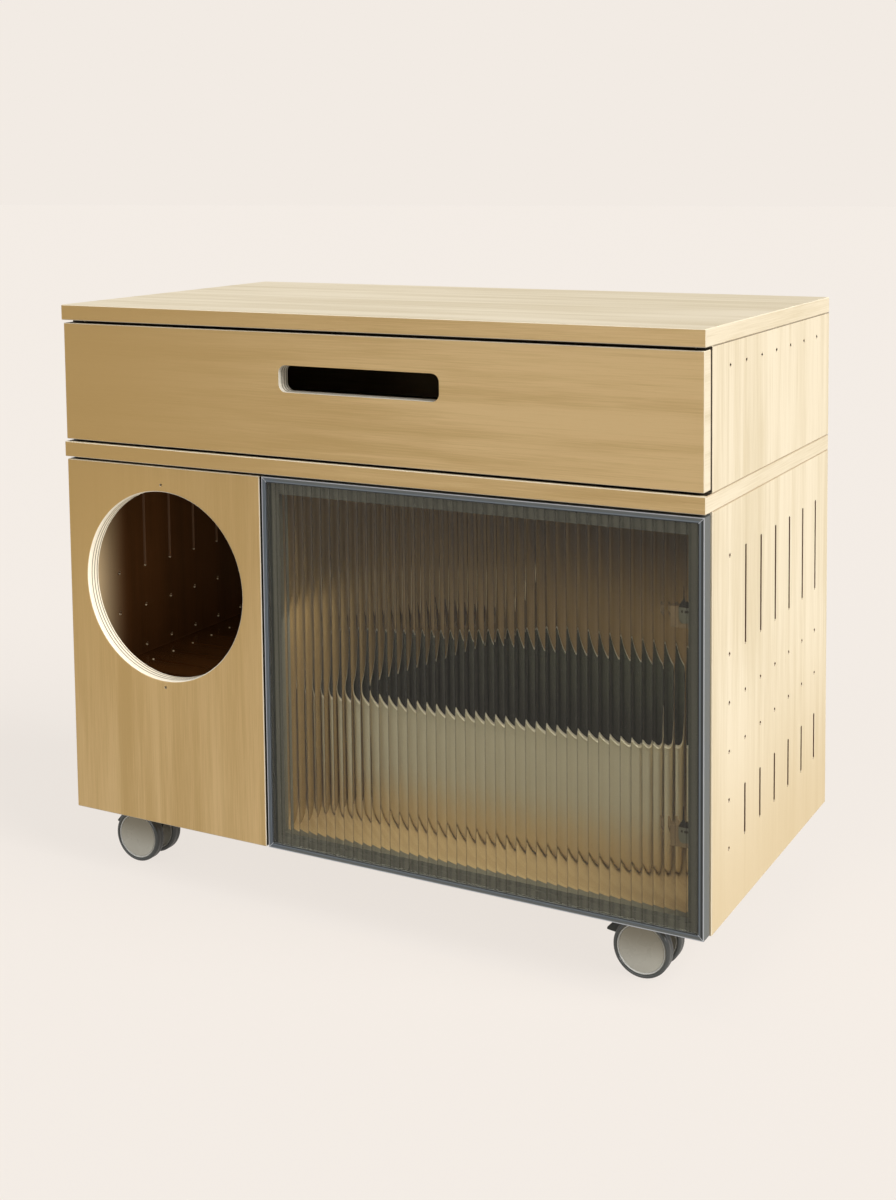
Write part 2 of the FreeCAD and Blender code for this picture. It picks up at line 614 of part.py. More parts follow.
# ---------------------------------------------------------------- glass door
def door_frame():
    """Four mitred aluminium members: a lip round the pane and a flange behind it."""
    def corner(inset, horizontal, vertical):
        x = f"({DOOR_LEFT} + {inset})" if horizontal == "left" else f"({FRONT_RIGHT} - {inset})"
        z = f"({DOOR_LOW} + {inset})" if vertical == "low" else f"({DOOR_TOP} - {inset})"
        return (x, z)

    sides = {"top": (("left", "high"), ("right", "high")), "bottom": (("right", "low"), ("left", "low")),
             "left": (("left", "low"), ("left", "high")), "right": (("right", "high"), ("right", "low"))}
    wide = "(Sizes.frame_lip + Sizes.frame_flange)"
    for side, (start, end) in sides.items():
        def band(outer, inner, start=start, end=end):
            points = [corner(outer, *start), corner(outer, *end), corner(inner, *end), corner(inner, *start)]
            return lambda sketch: polygon(sketch, points)

        body = new_body(f"door_frame_{side}")
        pad(body, "XZ", band("0", wide), FRAME_FRONT, FRAME_BACK)
        cut(body, "XZ", band("Sizes.frame_lip", wide), FRAME_FRONT, FLANGE_FRONT)
        line_end = "(Sizes.frame_line_in + Sizes.frame_line)"
        cut(body, "XZ", band("Sizes.frame_line_in", line_end), FRAME_FRONT,
            f"({FRAME_FRONT} + Sizes.frame_line / 2)")
        node(body)


PANE_INSET = "(Sizes.frame_lip + Sizes.glass_play)"
PANE_LEFT = f"({DOOR_LEFT} + {PANE_INSET})"
PANE_RIGHT = f"({FRONT_RIGHT} - {PANE_INSET})"
PANE_LOW = f"({DOOR_LOW} + {PANE_INSET})"
PANE_TOP = f"({DOOR_TOP} - {PANE_INSET})"


def door_pane():
    """The pane with a row of hollow flutes in its face, on a gasket in front of the flange."""
    back = f"({FLANGE_FRONT} - Sizes.gasket)"
    face = f"({back} - Sizes.glass)"
    body = new_body("door_glass")
    pad(body, "XZ", lambda sketch: rectangle(sketch, (PANE_LEFT, PANE_RIGHT), (PANE_LOW, PANE_TOP)), face, back)
    count = int(size(f"({PANE_RIGHT} - {PANE_LEFT}) / Sizes.flute_pitch"))
    start = f"(({PANE_LEFT} + {PANE_RIGHT} - {count} * Sizes.flute_pitch + Sizes.flute_land) / 2)"
    end = f"({start} + Sizes.flute_pitch - Sizes.flute_land)"
    chord_half = "((Sizes.flute_pitch - Sizes.flute_land) / 2)"
    radius = f"(({chord_half} * {chord_half} / Sizes.flute_depth + Sizes.flute_depth) / 2)"

    def hollow(sketch):
        a = FreeCAD.Vector(size(start), size(face), 0)
        b = FreeCAD.Vector(size(end), size(face), 0)
        crown = FreeCAD.Vector((a.x + b.x) / 2, a.y + size("Sizes.flute_depth"), 0)
        bow = sketch.addGeometry(Part.Arc(a, crown, b))
        chord = sketch.addGeometry(Part.LineSegment(a, b))
        turned = (sketch.getPoint(bow, 1) - a).Length > 0.01
        first, last = (2, 1) if turned else (1, 2)
        sketch.addConstraint(Sketcher.Constraint("Coincident", bow, first, chord, 1))
        sketch.addConstraint(Sketcher.Constraint("Coincident", bow, last, chord, 2))
        pin_point(sketch, bow, first, (start, face))
        pin_point(sketch, bow, last, (end, face))
        bind(sketch, "Radius", (bow,), radius)

    flute = cut(body, "XY", hollow, PANE_LOW, PANE_TOP)
    repeat(body, flute, "H_Axis", "Sizes.flute_pitch", count)
    node(body)

    gasket = new_body("door_gasket")
    wide = "Sizes.gasket_wide"

    def ring(sketch):
        rectangle(sketch, (PANE_LEFT, PANE_RIGHT), (PANE_LOW, PANE_TOP))
        rectangle(sketch, (f"({PANE_LEFT} + {wide})", f"({PANE_RIGHT} - {wide})"),
                  (f"({PANE_LOW} + {wide})", f"({PANE_TOP} - {wide})"))

    pad(gasket, "XZ", ring, back, FLANGE_FRONT)
    node(gasket)


# ---------------------------------------------------------------- concealed hinges
# Each hinge is a parallelogram in plan: door axis, arm pivot, crank end and cup pivot. The crank
# turns with the door and the links keep their direction, so the door turns about an axis inside
# its own edge, which no pin could reach.
AXIS = (f"({FRONT_RIGHT} - Sizes.axis_in)", f"({FRAME_FRONT} + Sizes.axis_back)")
ARM_PIVOT = (f"({AXIS[0]} - Sizes.arm_reach)", f"({AXIS[1]} + Sizes.arm_reach)")
CUP_PIVOT = (f"({AXIS[0]} - Sizes.cup_in)", f"({AXIS[1]} + Sizes.cup_back)")
CRANK_END = (f"({ARM_PIVOT[0]} - Sizes.cup_in)", f"({ARM_PIVOT[1]} + Sizes.cup_back)")
LINK_LOW = "(Sizes.crank_half + Sizes.layer_gap)"
LINK_HIGH = f"({LINK_LOW} + Sizes.link_thick)"
CUP_LOW = f"({LINK_HIGH} + Sizes.layer_gap)"
BORE = "(Sizes.pin + Sizes.pin_play)"


def bar(name, start, end, low, high):
    """A flat link with round ends and a bore at each end."""
    body = new_body(name)

    def outline(sketch):
        slot(sketch, start, end, "Sizes.eye")
        circle(sketch, start, BORE)
        circle(sketch, end, BORE)

    pad(body, "XY", outline, low, high)
    return body


def hinges():
    """Arms on the side board, cranks, links and cups, the same at two heights."""
    heights = {"low": f"({DOOR_LOW} + Sizes.hinge_up)", "high": f"({DOOR_TOP} - Sizes.hinge_down)"}
    arm_end = f"({ARM_PIVOT[1]} + Sizes.arm_end)"
    arms, cranks, links, cups = [], [], [], []
    plate_face = f"({INNER} - Sizes.link_thick)"
    web_face = f"({plate_face} - Sizes.link_thick)"
    for level, height in heights.items():
        def at(offset, height=height):
            return f"({height} + {offset})".replace("+ -", "- ")

        plate = block(f"arm_plate_{level}", (plate_face, INNER),
                      (f"({ARM_PIVOT[1]} + Sizes.arm_plate_start)", arm_end),
                      (at("-Sizes.arm_plate_half"), at("Sizes.arm_plate_half")))
        web = block(f"arm_web_{level}", (web_face, plate_face),
                    (f"({ARM_PIVOT[1]} - Sizes.arm_web_start)", arm_end), (at(f"-{LINK_HIGH}"), at(LINK_HIGH)))
        ears = []
        for name, low, high in (("under", f"-{LINK_HIGH}", f"-{LINK_LOW}"), ("over", LINK_LOW, LINK_HIGH)):
            flat = block(f"arm_ear_{name}_{level}", (ARM_PIVOT[0], web_face),
                         (ARM_PIVOT[1], arm_end), (at(low), at(high)))
            nose = rod(f"arm_nose_{name}_{level}", ARM_PIVOT, "Sizes.eye", at(low), at(high))
            ears += [flat, nose]
        pivot = rod(f"arm_pin_{level}", ARM_PIVOT, "Sizes.pin", at(f"-{LINK_HIGH}"), at(LINK_HIGH))
        arms.append(fuse(f"arm_{level}", [plate, web, pivot] + ears))

        crank = bar(f"crank_bar_{level}", ARM_PIVOT, CRANK_END, at("-Sizes.crank_half"),
                    at("Sizes.crank_half"))
        knee = rod(f"crank_pin_{level}", CRANK_END, "Sizes.pin", at(f"-{LINK_HIGH}"), at(LINK_HIGH))
        knee_fill = rod(f"crank_fill_{level}", CRANK_END, "Sizes.eye", at("-Sizes.crank_half"),
                        at("Sizes.crank_half"))
        cranks.append(fuse(f"crank_{level}", [crank, knee, knee_fill]))

        for name, low, high in (("under", f"-{LINK_HIGH}", f"-{LINK_LOW}"), ("over", LINK_LOW, LINK_HIGH)):
            links.append(bar(f"link_{name}_{level}", CUP_PIVOT, CRANK_END, at(low), at(high)))

        cup_left = f"({CUP_PIVOT[0]} - Sizes.cup_side)"
        cup_right = f"({FRONT_RIGHT} - Sizes.frame_lip - Sizes.frame_flange)"
        cup_front = f"({FLANGE_FRONT} + Sizes.layer_gap)"
        front_wall = block(f"cup_wall_{level}", (cup_left, cup_right), (cup_front, f"({cup_front} + Sizes.cup_wall)"),
                           (at("-Sizes.cup_half"), at("Sizes.cup_half")))
        cup = [front_wall, rod(f"cup_pin_{level}", CUP_PIVOT, "Sizes.pin",
                               at(f"-{CUP_LOW}"), at(CUP_LOW))]
        for name, low, high in (("under", "-Sizes.cup_half", f"-{CUP_LOW}"),
                                ("over", CUP_LOW, "Sizes.cup_half")):
            cup.append(block(f"cup_cheek_{name}_{level}", (cup_left, cup_right),
                             (cup_front, f"({CUP_PIVOT[1]} + Sizes.eye)"), (at(low), at(high))))
        cups.append(fuse(f"cup_{level}", cup))
    node(group("hinge_arms", arms))
    node(group("hinge_cranks", cranks))
    node(group("hinge_links", links))
    node(group("hinge_cups", cups))


# ---------------------------------------------------------------- litter tray
def litter_tray():
    """A drawn tray: drafted walls with round corners, an open top and a flat rim."""
    left = f"({DIVIDER_RIGHT} + Sizes.tray_left)"
    right = f"({INNER} - Sizes.tray_right)"
    front = f"({CARCASS} + Sizes.tray_front)"
    back = f"({BACK_IN} - Sizes.tray_back)"
    low = f"({BASE_TOP} + Sizes.seat)"
    high = f"({low} + Sizes.tray_height)"

    def outline(inset):
        return ((f"({left} + {inset})", f"({right} - {inset})"), (f"({front} + {inset})", f"({back} - {inset})"),
                f"(Sizes.tray_corner - {inset})")

    body = new_body("litter_tray")

    def loft(kind, name, bottom, top, inset_bottom, inset_top):
        lower = new_sketch(body, f"{name}_bottom", "XY", bottom)
        rounded_rectangle(lower, *outline(inset_bottom))
        upper = new_sketch(body, f"{name}_top", "XY", top)
        rounded_rectangle(upper, *outline(inset_top))
        doc.recompute()
        feature = body.newObject(kind, name)
        feature.Profile = lower
        feature.Sections = [upper]
        feature.Ruled = True
        doc.recompute()

    loft("PartDesign::AdditiveLoft", "tray_outside", low, high, "Sizes.tray_draft", "0")
    loft("PartDesign::SubtractiveLoft", "tray_inside", f"({low} + Sizes.tray_wall)", high,
         "(Sizes.tray_draft + Sizes.tray_wall)", "Sizes.tray_wall")

    def rim(sketch):
        rounded_rectangle(sketch, *outline("-Sizes.tray_rim + Sizes.tray_wall"))
        rounded_rectangle(sketch, *outline("Sizes.tray_wall"))

    pad(body, "XY", rim, f"({high} - Sizes.tray_wall)", high)
    node(body)


# ---------------------------------------------------------------- casters
CASTERS = {"front_left": ("-", "-"), "front_right": ("", "-"), "rear_left": ("-", ""), "rear_right": ("", "")}


def revolve(name, points, centre):
    """A ring or disc turned about a line along Y, from half sections given as (radius, y)."""
    body = new_body(name)
    x, z = centre
    sketch = new_sketch(body, f"{name}_section", "XY", z)
    polygon(sketch, [(f"({x} + {radius})", y) for radius, y in points])
    axis = sketch.addGeometry(Part.LineSegment(FreeCAD.Vector(size(x), 0, 0), FreeCAD.Vector(size(x), 10, 0)),
                              True)
    sketch.addConstraint(Sketcher.Constraint("Vertical", axis))
    pin_point(sketch, axis, 1, (x, "0"))
    bind(sketch, "DistanceY", (axis, 1, axis, 2), "Sizes.wheel_width")
    feature = body.newObject("PartDesign::Revolution", f"{name}_turned")
    feature.Profile = sketch
    feature.ReferenceAxis = (sketch, ["Axis0"])
    feature.Angle = 360
    doc.recompute()
    return body


def caster(place, sign_x, sign_y):
    """Plate and kingpin, swivel head with its web, axle, and two wheels of ring and disc."""
    x = f"({sign_x}({HALF} - Sizes.caster_side))"
    y = f"({sign_y}({BACK} - Sizes.caster_end))"
    axle_x = f"({x} - Sizes.trail)"
    axle_z = "Sizes.wheel_radius"
    plate_low = "(Sizes.underside - Sizes.plate_thick)"
    head_top = f"({plate_low} - Sizes.layer_gap)"
    head_low = f"({head_top} - Sizes.fork_head)"

    half = "Sizes.plate / 2"
    flat = block(f"plate_flat_{place}", (f"({x} - {half})", f"({x} + {half})"),
                 (f"({y} - {half})", f"({y} + {half})"), (plate_low, "Sizes.underside"))
    kingpin = rod(f"kingpin_{place}", (x, y), "Sizes.kingpin", f"({plate_low} - Sizes.kingpin_length)",
                  plate_low)
    plate = fuse(f"plate_{place}", [flat, kingpin])

    screws = []
    reach = f"({half} - Sizes.screw_head - 1)"
    for index, (dx, dy) in enumerate((("-", "-"), ("+", "-"), ("-", "+"), ("+", "+"))):
        spot = (f"({x} {dx} {reach})", f"({y} {dy} {reach})")
        screws.append(rod(f"screw_{place}_{index}", spot, "Sizes.screw_head",
                          f"({plate_low} - Sizes.screw_rise)", plate_low))

    node(fork(place, x, y, axle_x, axle_z, head_low, head_top))
    node(rod(f"axle_{place}", (axle_x, axle_z), "Sizes.axle", f"({y} - Sizes.axle_half)",
             f"({y} + Sizes.axle_half)", "Y"))
    for wheel, sign in (("outer", "-"), ("inner", "+")):
        def across(distance, sign=sign):
            return f"({y} {sign} ({distance}))"

        inner = "Sizes.wheel_gap / 2"
        outer = f"({inner} + Sizes.wheel_width)"
        ring_in = "(Sizes.wheel_radius - Sizes.tread)"
        bevel = "Sizes.tread_round"
        node(revolve(f"tyre_{place}_{wheel}", [
            (ring_in, across(inner)), (f"(Sizes.wheel_radius - {bevel})", across(inner)),
            ("Sizes.wheel_radius", across(f"{inner} + {bevel}")),
            ("Sizes.wheel_radius", across(f"{outer} - {bevel}")),
            (f"(Sizes.wheel_radius - {bevel})", across(outer)), (ring_in, across(outer))],
            (axle_x, axle_z)))
        disc = f"({ring_in} - Sizes.play)"
        bore = "(Sizes.axle + Sizes.play)"
        deep = "(Sizes.axle_half + Sizes.layer_gap)"
        face = f"({outer} - Sizes.hub_recess)"
        near = f"({inner} + Sizes.hub_recess)"
        node(revolve(f"disc_{place}_{wheel}", [
            (bore, across(near)), (f"({disc} - Sizes.disc_break)", across(near)),
            (disc, across(f"{near} + Sizes.disc_break")),
            (disc, across(f"{face} - Sizes.disc_break")), (f"({disc} - Sizes.disc_break)", across(face)),
            ("0", across(face)), ("0", across(deep)), (bore, across(deep))], (axle_x, axle_z)))
    if sign_y:
        node(pedal(place, x, y))
    return plate, screws


def fork(place, x, y, axle_x, axle_z, head_low, head_top):
    """The swivel head, and a web between the wheels that holds axle and brake pin."""
    head = rod(f"head_{place}", (x, y), "Sizes.fork_radius", head_low, head_top)
    neck = rod(f"neck_{place}", (x, y), "(Sizes.wheel_gap / 2 - Sizes.neck_gap)",
               f"({head_low} - Sizes.neck_length)", head_low)
    web = new_body(f"web_{place}")
    rise = f"({head_low} - {axle_z})"
    unit = "Sizes.wheel_radius"
    outline = [(0.9, rise), (0.9, f"({rise} - 0.22 * {unit})"), (0.35, f"(-0.28 * {unit})"),
               (0, f"(-0.35 * {unit})"), (-0.32, f"(-0.22 * {unit})"), (-0.33, f"(0.28 * {unit})"),
               (-0.18, f"({rise} - 0.25 * {unit})"), (-0.18, rise)]
    points = [(f"({axle_x} + {u} * {unit})", f"({axle_z} + {v})") for u, v in outline]
    pad(web, "XZ", lambda sketch: polygon(sketch, points), f"({y} - Sizes.web / 2)",
        f"({y} + Sizes.web / 2)")
    solid = [head, neck, web]
    if size(y) < 0:
        solid.append(rod(f"brake_pin_{place}", (f"({x} - Sizes.pedal_pivot_x)", "Sizes.pedal_pivot_z"),
                         "Sizes.pedal_pin", f"({y} - Sizes.pedal_half - Sizes.pedal_pin_end)",
                         f"({y} + Sizes.pedal_half + Sizes.pedal_pin_end)", "Y"))
    whole = fuse(f"fork_solid_{place}", solid)
    king_bore = rod(f"king_bore_{place}", (x, y), "(Sizes.kingpin + Sizes.play)",
                    f"({head_top} - Sizes.kingpin_length - Sizes.layer_gap)", head_top)
    axle_bore = rod(f"axle_bore_{place}", (axle_x, axle_z), "(Sizes.axle + Sizes.play)",
                    f"({y} - Sizes.web)", f"({y} + Sizes.web)", "Y")
    return subtract(f"fork_{place}", whole, fuse(f"fork_bores_{place}", [king_bore, axle_bore]))


PEDAL = [(0.16, 0.14), (-0.29, 0.19), (-0.79, -0.03), (-1.35, -0.35), (-1.38, -0.49), (-1.24, -0.56),
         (-0.73, -0.3), (-0.29, -0.15), (0.03, -0.15), (0.16, -0.06)]


def pedal(place, x, y):
    """Brake pedal: a sloping pad with two ears round the web, outlined in wheel radii from its pivot."""
    pivot_x = f"({x} - Sizes.pedal_pivot_x)"
    pivot_z = "Sizes.pedal_pivot_z"
    body = new_body(f"brake_{place}")
    points = [(f"({pivot_x} + {u} * Sizes.wheel_radius)", f"({pivot_z} + {v} * Sizes.wheel_radius)")
              for u, v in PEDAL]
    sides = (f"({y} - Sizes.pedal_half)", f"({y} + Sizes.pedal_half)")
    pad(body, "XZ", lambda sketch: polygon(sketch, points), *sides)
    gap = "(Sizes.web / 2 + Sizes.layer_gap)"
    cut(body, "XY", lambda sketch: rectangle(sketch, (f"({pivot_x} - Sizes.pedal_slot)",
                                                      f"({pivot_x} + Sizes.pedal_slot)"),
                                             (f"({y} - {gap})", f"({y} + {gap})")),
        f"({pivot_z} - Sizes.pedal_slot)", f"({pivot_z} + Sizes.pedal_slot)")
    cut(body, "XZ", lambda sketch: circle(sketch, (pivot_x, pivot_z), "(Sizes.pedal_pin + Sizes.play)"),
        *sides)
    return body


def casters():
    """The four casters, their plates and screws."""
    plates = []
    screws = []
    for place, signs in CASTERS.items():
        plate, heads = caster(place, *signs)
        plates.append(plate)
        screws += heads
    node(group("caster_plates", plates))
    node(group("caster_screws", screws))


# ---------------------------------------------------------------- build, check and write
carcass()
entry_bay()
drawer()
runners()
door_frame()
door_pane()
hinges()
litter_tray()
casters()
doc.recompute()

failed = [item.Name for item in doc.Objects if {"Invalid", "Error"} & set(item.State)]
failed += [piece.Name for piece in NODES if piece.Shape.isNull() or not piece.Shape.isValid()]
if failed:
    raise RuntimeError(f"failed: {failed}")

os.makedirs("parts", exist_ok=True)
for piece in NODES:
    piece.Shape.exportStep(f"parts/{piece.Label}.step")
print(f"{len(NODES)} nodes written")
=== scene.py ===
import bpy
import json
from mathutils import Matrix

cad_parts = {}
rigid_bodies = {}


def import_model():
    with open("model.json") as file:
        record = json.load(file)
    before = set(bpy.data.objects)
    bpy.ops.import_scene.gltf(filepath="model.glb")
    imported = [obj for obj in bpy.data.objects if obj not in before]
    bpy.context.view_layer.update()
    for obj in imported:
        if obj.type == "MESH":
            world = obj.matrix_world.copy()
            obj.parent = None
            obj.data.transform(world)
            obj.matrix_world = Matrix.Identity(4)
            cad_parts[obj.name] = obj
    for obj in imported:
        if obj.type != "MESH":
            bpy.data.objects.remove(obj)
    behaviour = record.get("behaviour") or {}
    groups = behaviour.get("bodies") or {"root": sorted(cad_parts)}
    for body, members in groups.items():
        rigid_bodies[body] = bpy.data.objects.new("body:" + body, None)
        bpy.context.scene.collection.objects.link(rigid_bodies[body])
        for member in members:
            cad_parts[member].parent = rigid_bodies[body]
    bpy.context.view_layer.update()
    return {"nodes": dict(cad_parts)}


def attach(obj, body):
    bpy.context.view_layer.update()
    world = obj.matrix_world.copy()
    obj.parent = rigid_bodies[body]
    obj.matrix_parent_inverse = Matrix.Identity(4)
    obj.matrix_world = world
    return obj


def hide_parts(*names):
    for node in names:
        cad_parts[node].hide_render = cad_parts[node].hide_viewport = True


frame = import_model()

import json
import math
import bpy
import numpy as np
from mathutils import Matrix, Vector

print("frame loaded:", len(frame["nodes"]), "nodes")

# camera, where the photograph was taken from
camera = {
    "azimuth": 28.400,        # degrees to the right of straight on
    "elevation": 4.904,
    "roll": -0.612,
    "aim": (0.00956, 0.0, 0.66866),
    "distance": 1.98455,
    "lens": 50.70,            # mm on the 36 mm long side
    "shiftX": -0.0028,
    "shiftY": -0.2406,
}


def placeCamera():
    az, el, roll = (math.radians(camera[k]) for k in ("azimuth", "elevation", "roll"))
    back = Vector((math.sin(az) * math.cos(el), -math.cos(az) * math.cos(el), math.sin(el)))
    right = (-back).cross(Vector((0, 0, 1))).normalized()
    up = right.cross(-back)
    sideways = math.cos(roll) * right + math.sin(roll) * up
    upright = -math.sin(roll) * right + math.cos(roll) * up
    data = bpy.data.cameras.new("camera")
    data.lens, data.shift_x, data.shift_y = camera["lens"], camera["shiftX"], camera["shiftY"]
    data.clip_start, data.clip_end = 0.05, 100.0
    eye = bpy.data.objects.new("camera", data)
    place = Vector(camera["aim"]) + camera["distance"] * back
    eye.matrix_world = Matrix.Translation(place) @ Matrix((sideways, upright, back)).transposed().to_4x4()
    bpy.context.scene.collection.objects.link(eye)
    bpy.context.scene.camera = eye


placeCamera()
bpy.context.scene.view_settings.view_transform = "Standard"


# shader maths: a Signal is a socket that can be used in sums
class Signal:
    def __init__(self, recipe, socket):
        self.recipe, self.socket = recipe, socket

    def math(self, operation, *others):
        return self.recipe.add("ShaderNodeMath", {"operation": operation}, [self, *others])

    def __add__(self, other):
        return self.math("ADD", other)

    def __radd__(self, other):
        return self.math("ADD", other)

    def __sub__(self, other):
        return self.math("SUBTRACT", other)

    def __rsub__(self, other):
        return self.recipe.add("ShaderNodeMath", {"operation": "SUBTRACT"}, [other, self])

    def __mul__(self, other):
        return self.math("MULTIPLY", other)

    def __abs__(self):
        return self.math("ABSOLUTE")

    def below(self, edge, soft):      # 1 under the edge, fading to 0 over soft
        return self.recipe.ramp(self, edge - soft, edge + soft, 1.0, 0.0)

    def above(self, edge, soft):
        return self.recipe.ramp(self, edge - soft, edge + soft, 0.0, 1.0)


class Recipe:
    def __init__(self, name):
        self.material = bpy.data.materials.new(name)
        self.material.use_nodes = True
        self.tree = self.material.node_tree
        self.shader = self.tree.nodes["Principled BSDF"]

    def add(self, kind, settings, inputs, output=0):
        node = self.tree.nodes.new(kind)
        for key, value in settings.items():
            setattr(node, key, value)
        pairs = inputs.items() if isinstance(inputs, dict) else enumerate(inputs)
        for key, value in pairs:
            if isinstance(value, Signal):
                self.tree.links.new(value.socket, node.inputs[key])
            else:
                node.inputs[key].default_value = value
        return Signal(self, node.outputs[output])

    def ramp(self, value, low, high, atLow, atHigh):
        return self.add("ShaderNodeMapRange", {"interpolation_type": "SMOOTHSTEP"},
                        {"Value": value, "From Min": low, "From Max": high, "To Min": atLow, "To Max": atHigh})

    def place(self):                  # the point on the piece, in metres
        return self.add("ShaderNodeTexCoord", {}, {}, "Object")

    def facing(self):                 # the piece's own normal, part by part
        return self.split(self.add("ShaderNodeTexCoord", {}, {}, "Normal"))

    def split(self, vector):
        node = self.tree.nodes.new("ShaderNodeSeparateXYZ")
        self.tree.links.new(vector.socket, node.inputs[0])
        return [Signal(self, node.outputs[i]) for i in range(3)]

    def stretched(self, vector, scale, shift=(0, 0, 0)):
        return self.add("ShaderNodeMapping", {}, {"Vector": vector, "Scale": scale, "Location": shift})

    def noise(self, vector, detail=2.0, rough=0.5, distort=0.0):
        return self.add("ShaderNodeTexNoise", {}, {"Vector": vector, "Scale": 1.0, "Detail": detail,
                                                   "Roughness": rough, "Distortion": distort})

    def blend(self, amount, first, second, how="MIX"):
        settings = {"data_type": "RGBA", "blend_type": how, "clamp_factor": True}
        return self.add("ShaderNodeMix", settings, {0: amount, 6: colour(first), 7: colour(second)}, 2)

    def bump(self, height, distance):
        return self.add("ShaderNodeBump", {}, {"Height": height, "Distance": distance, "Strength": 1.0})

    def finish(self, **sockets):
        for name, value in sockets.items():
            target = self.shader.inputs[socketNames[name]]
            if isinstance(value, Signal):
                self.tree.links.new(value.socket, target)
            else:
                target.default_value = colour(value)
        return self.material


socketNames = {"color": "Base Color", "roughness": "Roughness", "metallic": "Metallic", "normal": "Normal",
               "ior": "IOR", "transmission": "Transmission Weight", "coat": "Coat Weight",
               "coatRoughness": "Coat Roughness", "specular": "Specular IOR Level",
               "emission": "Emission Color", "glow": "Emission Strength"}


def colour(value):
    if isinstance(value, (tuple, list)) and len(value) == 3:
        return (*value, 1.0)
    return value


def tone(red, green, blue):          # screen colour to scene-linear
    channels = [c / 255 for c in (red, green, blue)]
    return tuple(c / 12.92 if c < 0.04045 else ((c + 0.055) / 1.055) ** 2.4 for c in channels)


# floor, background and lights
studio = {
    "backdrop": tone(242, 235, 228),
    "ambient": (0.30, 0.31, 0.33),       # what the surroundings send into the scene
    # the floor as shares of the backdrop: its own colour, its glow for the camera, its glow for the object
    "floorColour": 0.115, "floorGlow": 0.885, "floorBounce": 0.32,
    "floorReach": 30,                    # metres each way
    "sunColour": (1.0, 0.98, 0.95), "windowColour": (1.0, 0.93, 0.80),
    "key": {"comesFrom": (0.80, -0.06, 0.62), "power": 3.85, "soft": 40.0},
    "fill": {"comesFrom": (-0.25, -0.90, 0.35), "power": 0.85, "soft": 60.0},
    "bayDaylight": {"middle": (0.14, -0.175, 0.350), "size": (0.46, 0.04), "aim": (0.0, 0.35, -1.0), "power": 0.34},
    "entryDaylight": {"middle": (-0.215, -0.190, 0.357), "size": (0.16, 0.03), "aim": (-1.0, 0.12, 0.0),
                      "power": 0.15},
}


def addSun(name, comesFrom, power, soft):
    data = bpy.data.lights.new(name, "SUN")
    data.energy, data.angle, data.color = power, math.radians(soft), studio["sunColour"]
    lamp = bpy.data.objects.new(name, data)
    lamp.rotation_mode = "QUATERNION"
    lamp.rotation_quaternion = Vector(comesFrom).to_track_quat("Z", "Y")
    bpy.context.scene.collection.objects.link(lamp)


def addWindowLight(name, middle, size, aim, power):
    # a soft sheet of light that no camera or glass ray sees
    data = bpy.data.lights.new(name, "AREA")
    data.shape, data.size, data.size_y = "RECTANGLE", size[0], size[1]
    data.energy, data.color = power, studio["windowColour"]
    lamp = bpy.data.objects.new(name, data)
    lamp.location = middle
    lamp.rotation_mode = "QUATERNION"
    lamp.rotation_quaternion = Vector(aim).to_track_quat("-Z", "Y")
    for kind in ("visible_camera", "visible_transmission", "visible_glossy"):
        setattr(lamp, kind, False)
    bpy.context.scene.collection.objects.link(lamp)


def buildStudio():
    world = bpy.data.worlds.new("studio")
    bpy.context.scene.world = world
    world.use_nodes = True
    nodes, links = world.node_tree.nodes, world.node_tree.links
    nodes.clear()
    plain, lit = nodes.new("ShaderNodeBackground"), nodes.new("ShaderNodeBackground")
    plain.inputs["Color"].default_value = (*studio["backdrop"], 1)
    lit.inputs["Color"].default_value = (*studio["ambient"], 1)
    kinds = ("ShaderNodeLightPath", "ShaderNodeMixShader", "ShaderNodeOutputWorld")
    rays, choose, out = (nodes.new(kind) for kind in kinds)
    links.new(rays.outputs["Is Camera Ray"], choose.inputs[0])
    links.new(lit.outputs[0], choose.inputs[1])
    links.new(plain.outputs[0], choose.inputs[2])
    links.new(choose.outputs[0], out.inputs["Surface"])
    for name in ("key", "fill"):
        addSun(name, **studio[name])
    for name in ("bayDaylight", "entryDaylight"):
        addWindowLight(name, **studio[name])

    reach = studio["floorReach"]
    corners = [(-reach, -reach, 0), (reach, -reach, 0), (reach, reach, 0), (-reach, reach, 0)]
    mesh = bpy.data.meshes.new("floor")
    mesh.from_pydata(corners, [], [(0, 1, 2, 3)])
    floor = bpy.data.objects.new("floor", mesh)
    bpy.context.scene.collection.objects.link(floor)
    recipe = Recipe("paleFloor")
    seen = recipe.add("ShaderNodeLightPath", {}, {}, "Is Camera Ray")
    own, bright, dim = (tuple(studio[share] * c for c in studio["backdrop"])
                        for share in ("floorColour", "floorGlow", "floorBounce"))
    mesh.materials.append(recipe.finish(color=own, roughness=1.0, specular=0.0,
                                        emission=recipe.blend(seen, dim, bright), glow=1.0))


buildStudio()
print("studio ready")


# meshes from numpy grids
def gridMesh(name, points, closeAcross=False, closeAlong=False, capStart=False, capEnd=False):
    # points[i, j] is row i, column j; quads join neighbours, and a cap closes the first or last row
    rows, columns = points.shape[:2]
    index = np.arange(rows * columns).reshape(rows, columns)
    if closeAcross:
        index = np.concatenate([index, index[:, :1]], axis=1)
    if closeAlong:
        index = np.concatenate([index, index[:1]], axis=0)
    quads = np.stack([index[:-1, :-1], index[:-1, 1:], index[1:, 1:], index[1:, :-1]], axis=-1).reshape(-1, 4)
    faces = quads.tolist()
    if capStart:
        faces.append(index[0, :columns][::-1].tolist())
    if capEnd:
        faces.append(index[-1, :columns].tolist())
    mesh = bpy.data.meshes.new(name)
    mesh.from_pydata(points.reshape(-1, 3).tolist(), [], faces)
    mesh.validate()
    mesh.update()
    return mesh


